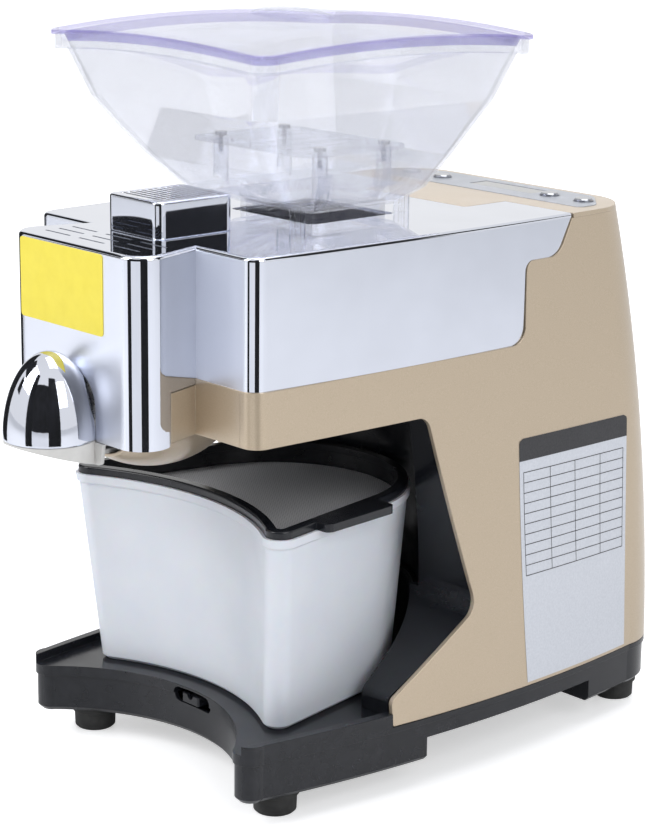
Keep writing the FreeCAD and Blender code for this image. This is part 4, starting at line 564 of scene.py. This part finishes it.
def upper_edge(name, side, columns=60, rows=12):
    """Smooth rounded skin along the cover's long upper edge, over the coarse facets of the solid.

    The line where the rounding starts is fitted through the solid's own corners beyond
    EDGE_OUTSIDE. The rows of the skin go round from there to the flat top.
    """
    corners = [vertex.co for vertex in nodes["chrome_cover"].data.vertices]
    top = max(corner.z for corner in corners)
    outer = [corner for corner in corners if corner.x * side > EDGE_OUTSIDE]
    rail = [(corner.y, abs(corner.x)) for corner in outer
            if abs(corner.z - top + EDGE_RADIUS) < SAME_HEIGHT]
    curve = numpy.polynomial.Polynomial.fit([y for y, _ in rail], [x for _, x in rail], 4)
    start, low_end = min(rail)[0], max(rail)[0]
    high_end = max(corner.y for corner in outer if corner.z > top - SAME_HEIGHT)
    grid = []
    for row in range(rows + 1):
        turn = math.pi / 2 * row / rows
        end = low_end + (high_end - low_end) * math.sin(turn)
        out = (EDGE_RADIUS + EDGE_LIFT) * math.cos(turn) - EDGE_RADIUS
        rise = (EDGE_RADIUS + EDGE_LIFT) * math.sin(turn) - EDGE_RADIUS
        places = [start + (end - start) * column / columns for column in range(columns + 1)]
        grid.append([(side * (float(curve(y)) + out), y, top + rise) for y in places])
    new_piece(name, skin(name, grid, flip=side < 0), COVER_LOOK, "cover")


front_plate()
side_sheet()
upper_edge("cover_edge_right", 1)
upper_edge("cover_edge_left", -1)


# Stage and light

FLOOR_SIZE = 12
FLOOR_GLOW = 0.5
FLOOR_GLOW_IN_MIRRORS = 0.15
WORLD_TINT = (0.93, 0.96, 1.0)
WORLD_LEVEL = 0.62
FLAG_TONE = 0.02

# Dark flags around the object: name, azimuth in degrees, distance, width, lowest and highest point
FLAGS = [
    ("flag_front", 272, 0.85, 0.20, 0.0, 1.1),
    ("flag_corner", 325, 0.85, 0.40, 0.0, 1.2),
    ("flag_left", 193, 0.85, 0.55, 0.0, 1.0),
    ("flag_rear", 44, 0.90, 0.60, 0.68, 1.35),
    ("flag_far_left", 221, 0.90, 0.50, 0.68, 1.35),
    ("flag_cap_side", 33.3, 0.79, 0.20, 0.42, 0.63),
    ("flag_cap_front", 228, 0.95, 0.22, 0.42, 0.63),
    ("flag_camera", 306, 1.70, 2.00, 0.12, 1.60),
]

# Soft boxes, all turned to one place on the object: name, width, height, place, watts
LAMP_TARGET = (0, 0, 0.2)
LAMPS = [
    ("key", 1.2, 1.2, (-0.7, -1.5, 1.5), 24),
    ("fill", 1.4, 1.0, (1.7, -0.3, 1.2), 12),
    ("top", 1.2, 1.2, (0.1, 0.3, 1.8), 12),
]


def plane(name, size_x, size_y, matrix, material):
    mesh = bpy.data.meshes.new(name)
    half_x, half_y = size_x / 2, size_y / 2
    corners = [(-half_x, -half_y, 0), (half_x, -half_y, 0),
               (half_x, half_y, 0), (-half_x, half_y, 0)]
    mesh.from_pydata(corners, [], [(0, 1, 2, 3)])
    mesh.materials.append(material)
    item = bpy.data.objects.new(name, mesh)
    item.matrix_world = matrix
    bpy.context.scene.collection.objects.link(item)
    return item


def turned(place, target, axis):
    """Placement of a thing at a place whose own axis looks at a target."""
    aim = Vector(target) - Vector(place)
    return Matrix.Translation(Vector(place)) @ aim.to_track_quat(axis, "Y").to_matrix().to_4x4()


def floor_material():
    """Pale floor that keeps its shadows; it glows white where it is seen, and faintly in mirrors."""
    look = Look("floor_white", (0.86, 0.86, 0.87), 0.35)
    look.mottle(8, 2.0, (0.85, 0.85, 0.86), (0.87, 0.87, 0.88))
    path = look.add("LightPath")
    glow = look.add("Emission")
    glow.inputs["Color"].default_value = (1, 1, 1, 1)
    glow.inputs["Strength"].default_value = FLOOR_GLOW
    nothing = look.add("BsdfTransparent")
    nothing.inputs["Color"].default_value = (0, 0, 0, 1)
    choice = look.add("MixShader")
    seen = look.add("Math", operation="MULTIPLY_ADD")
    look.link(path.outputs["Is Glossy Ray"], seen.inputs[0])
    seen.inputs[1].default_value = FLOOR_GLOW_IN_MIRRORS
    look.link(path.outputs["Is Camera Ray"], seen.inputs[2])
    look.link(seen.outputs["Value"], choice.inputs["Fac"])
    look.link(nothing.outputs["BSDF"], choice.inputs[1])
    look.link(glow.outputs["Emission"], choice.inputs[2])
    both = look.add("AddShader")
    look.link(look.shader.outputs["BSDF"], both.inputs[0])
    look.link(choice.outputs["Shader"], both.inputs[1])
    look.link(both.outputs["Shader"], look.output.inputs["Surface"])
    return look.material


def flag(name, azimuth, distance, width, low, high):
    """An upright dark studio flag that only mirrors see."""
    turn = math.radians(azimuth)
    x, y, z = distance * math.cos(turn), distance * math.sin(turn), (low + high) / 2
    tones = (FLAG_TONE, FLAG_TONE, FLAG_TONE)
    look = Look(name, tones, 1.0)
    look.mottle(3, 1.0, tones, (FLAG_TONE * 1.4, FLAG_TONE * 1.4, FLAG_TONE * 1.5))
    look.set(specular_ior_level=0.0)
    card = plane(name, width, high - low, turned((x, y, z), (0, 0, z), "Z"), look.material)
    card.visible_camera = False
    card.visible_diffuse = False
    card.visible_transmission = False
    card.visible_shadow = False


def soft_box(name, width, height, place, watts):
    data = bpy.data.lights.new(name, "AREA")
    data.shape = "RECTANGLE"
    data.size, data.size_y = width, height
    data.energy = watts
    lamp = bpy.data.objects.new(name, data)
    lamp.matrix_world = turned(place, LAMP_TARGET, "-Z")
    bpy.context.scene.collection.objects.link(lamp)


def make_world():
    """Soft sky light on the object, and plain white where the world itself is seen."""
    world = bpy.data.worlds.new("studio")
    bpy.context.scene.world = world
    world.use_nodes = True
    tree = world.node_tree
    back = tree.nodes["Background"]
    back.inputs["Color"].default_value = (*WORLD_TINT, 1)
    back.inputs["Strength"].default_value = WORLD_LEVEL
    white = tree.nodes.new("ShaderNodeBackground")
    white.inputs["Color"].default_value = (1, 1, 1, 1)
    white.inputs["Strength"].default_value = 1.0
    path = tree.nodes.new("ShaderNodeLightPath")
    total = path.outputs["Is Camera Ray"]
    for kind in ("Is Glossy Ray", "Is Transmission Ray"):
        highest = tree.nodes.new("ShaderNodeMath")
        highest.operation = "MAXIMUM"
        tree.links.new(total, highest.inputs[0])
        tree.links.new(path.outputs[kind], highest.inputs[1])
        total = highest.outputs["Value"]
    mix = tree.nodes.new("ShaderNodeMixShader")
    tree.links.new(total, mix.inputs["Fac"])
    tree.links.new(back.outputs["Background"], mix.inputs[1])
    tree.links.new(white.outputs["Background"], mix.inputs[2])
    tree.links.new(mix.outputs["Shader"], tree.nodes["World Output"].inputs["Surface"])


def make_stage():
    plane("floor", FLOOR_SIZE, FLOOR_SIZE, Matrix.Identity(4), floor_material())
    for name, azimuth, distance, width, low, high in FLAGS:
        flag(name, azimuth, distance, width, low, high)
    make_world()
    for name, width, height, place, watts in LAMPS:
        soft_box(name, width, height, place, watts)


make_stage()
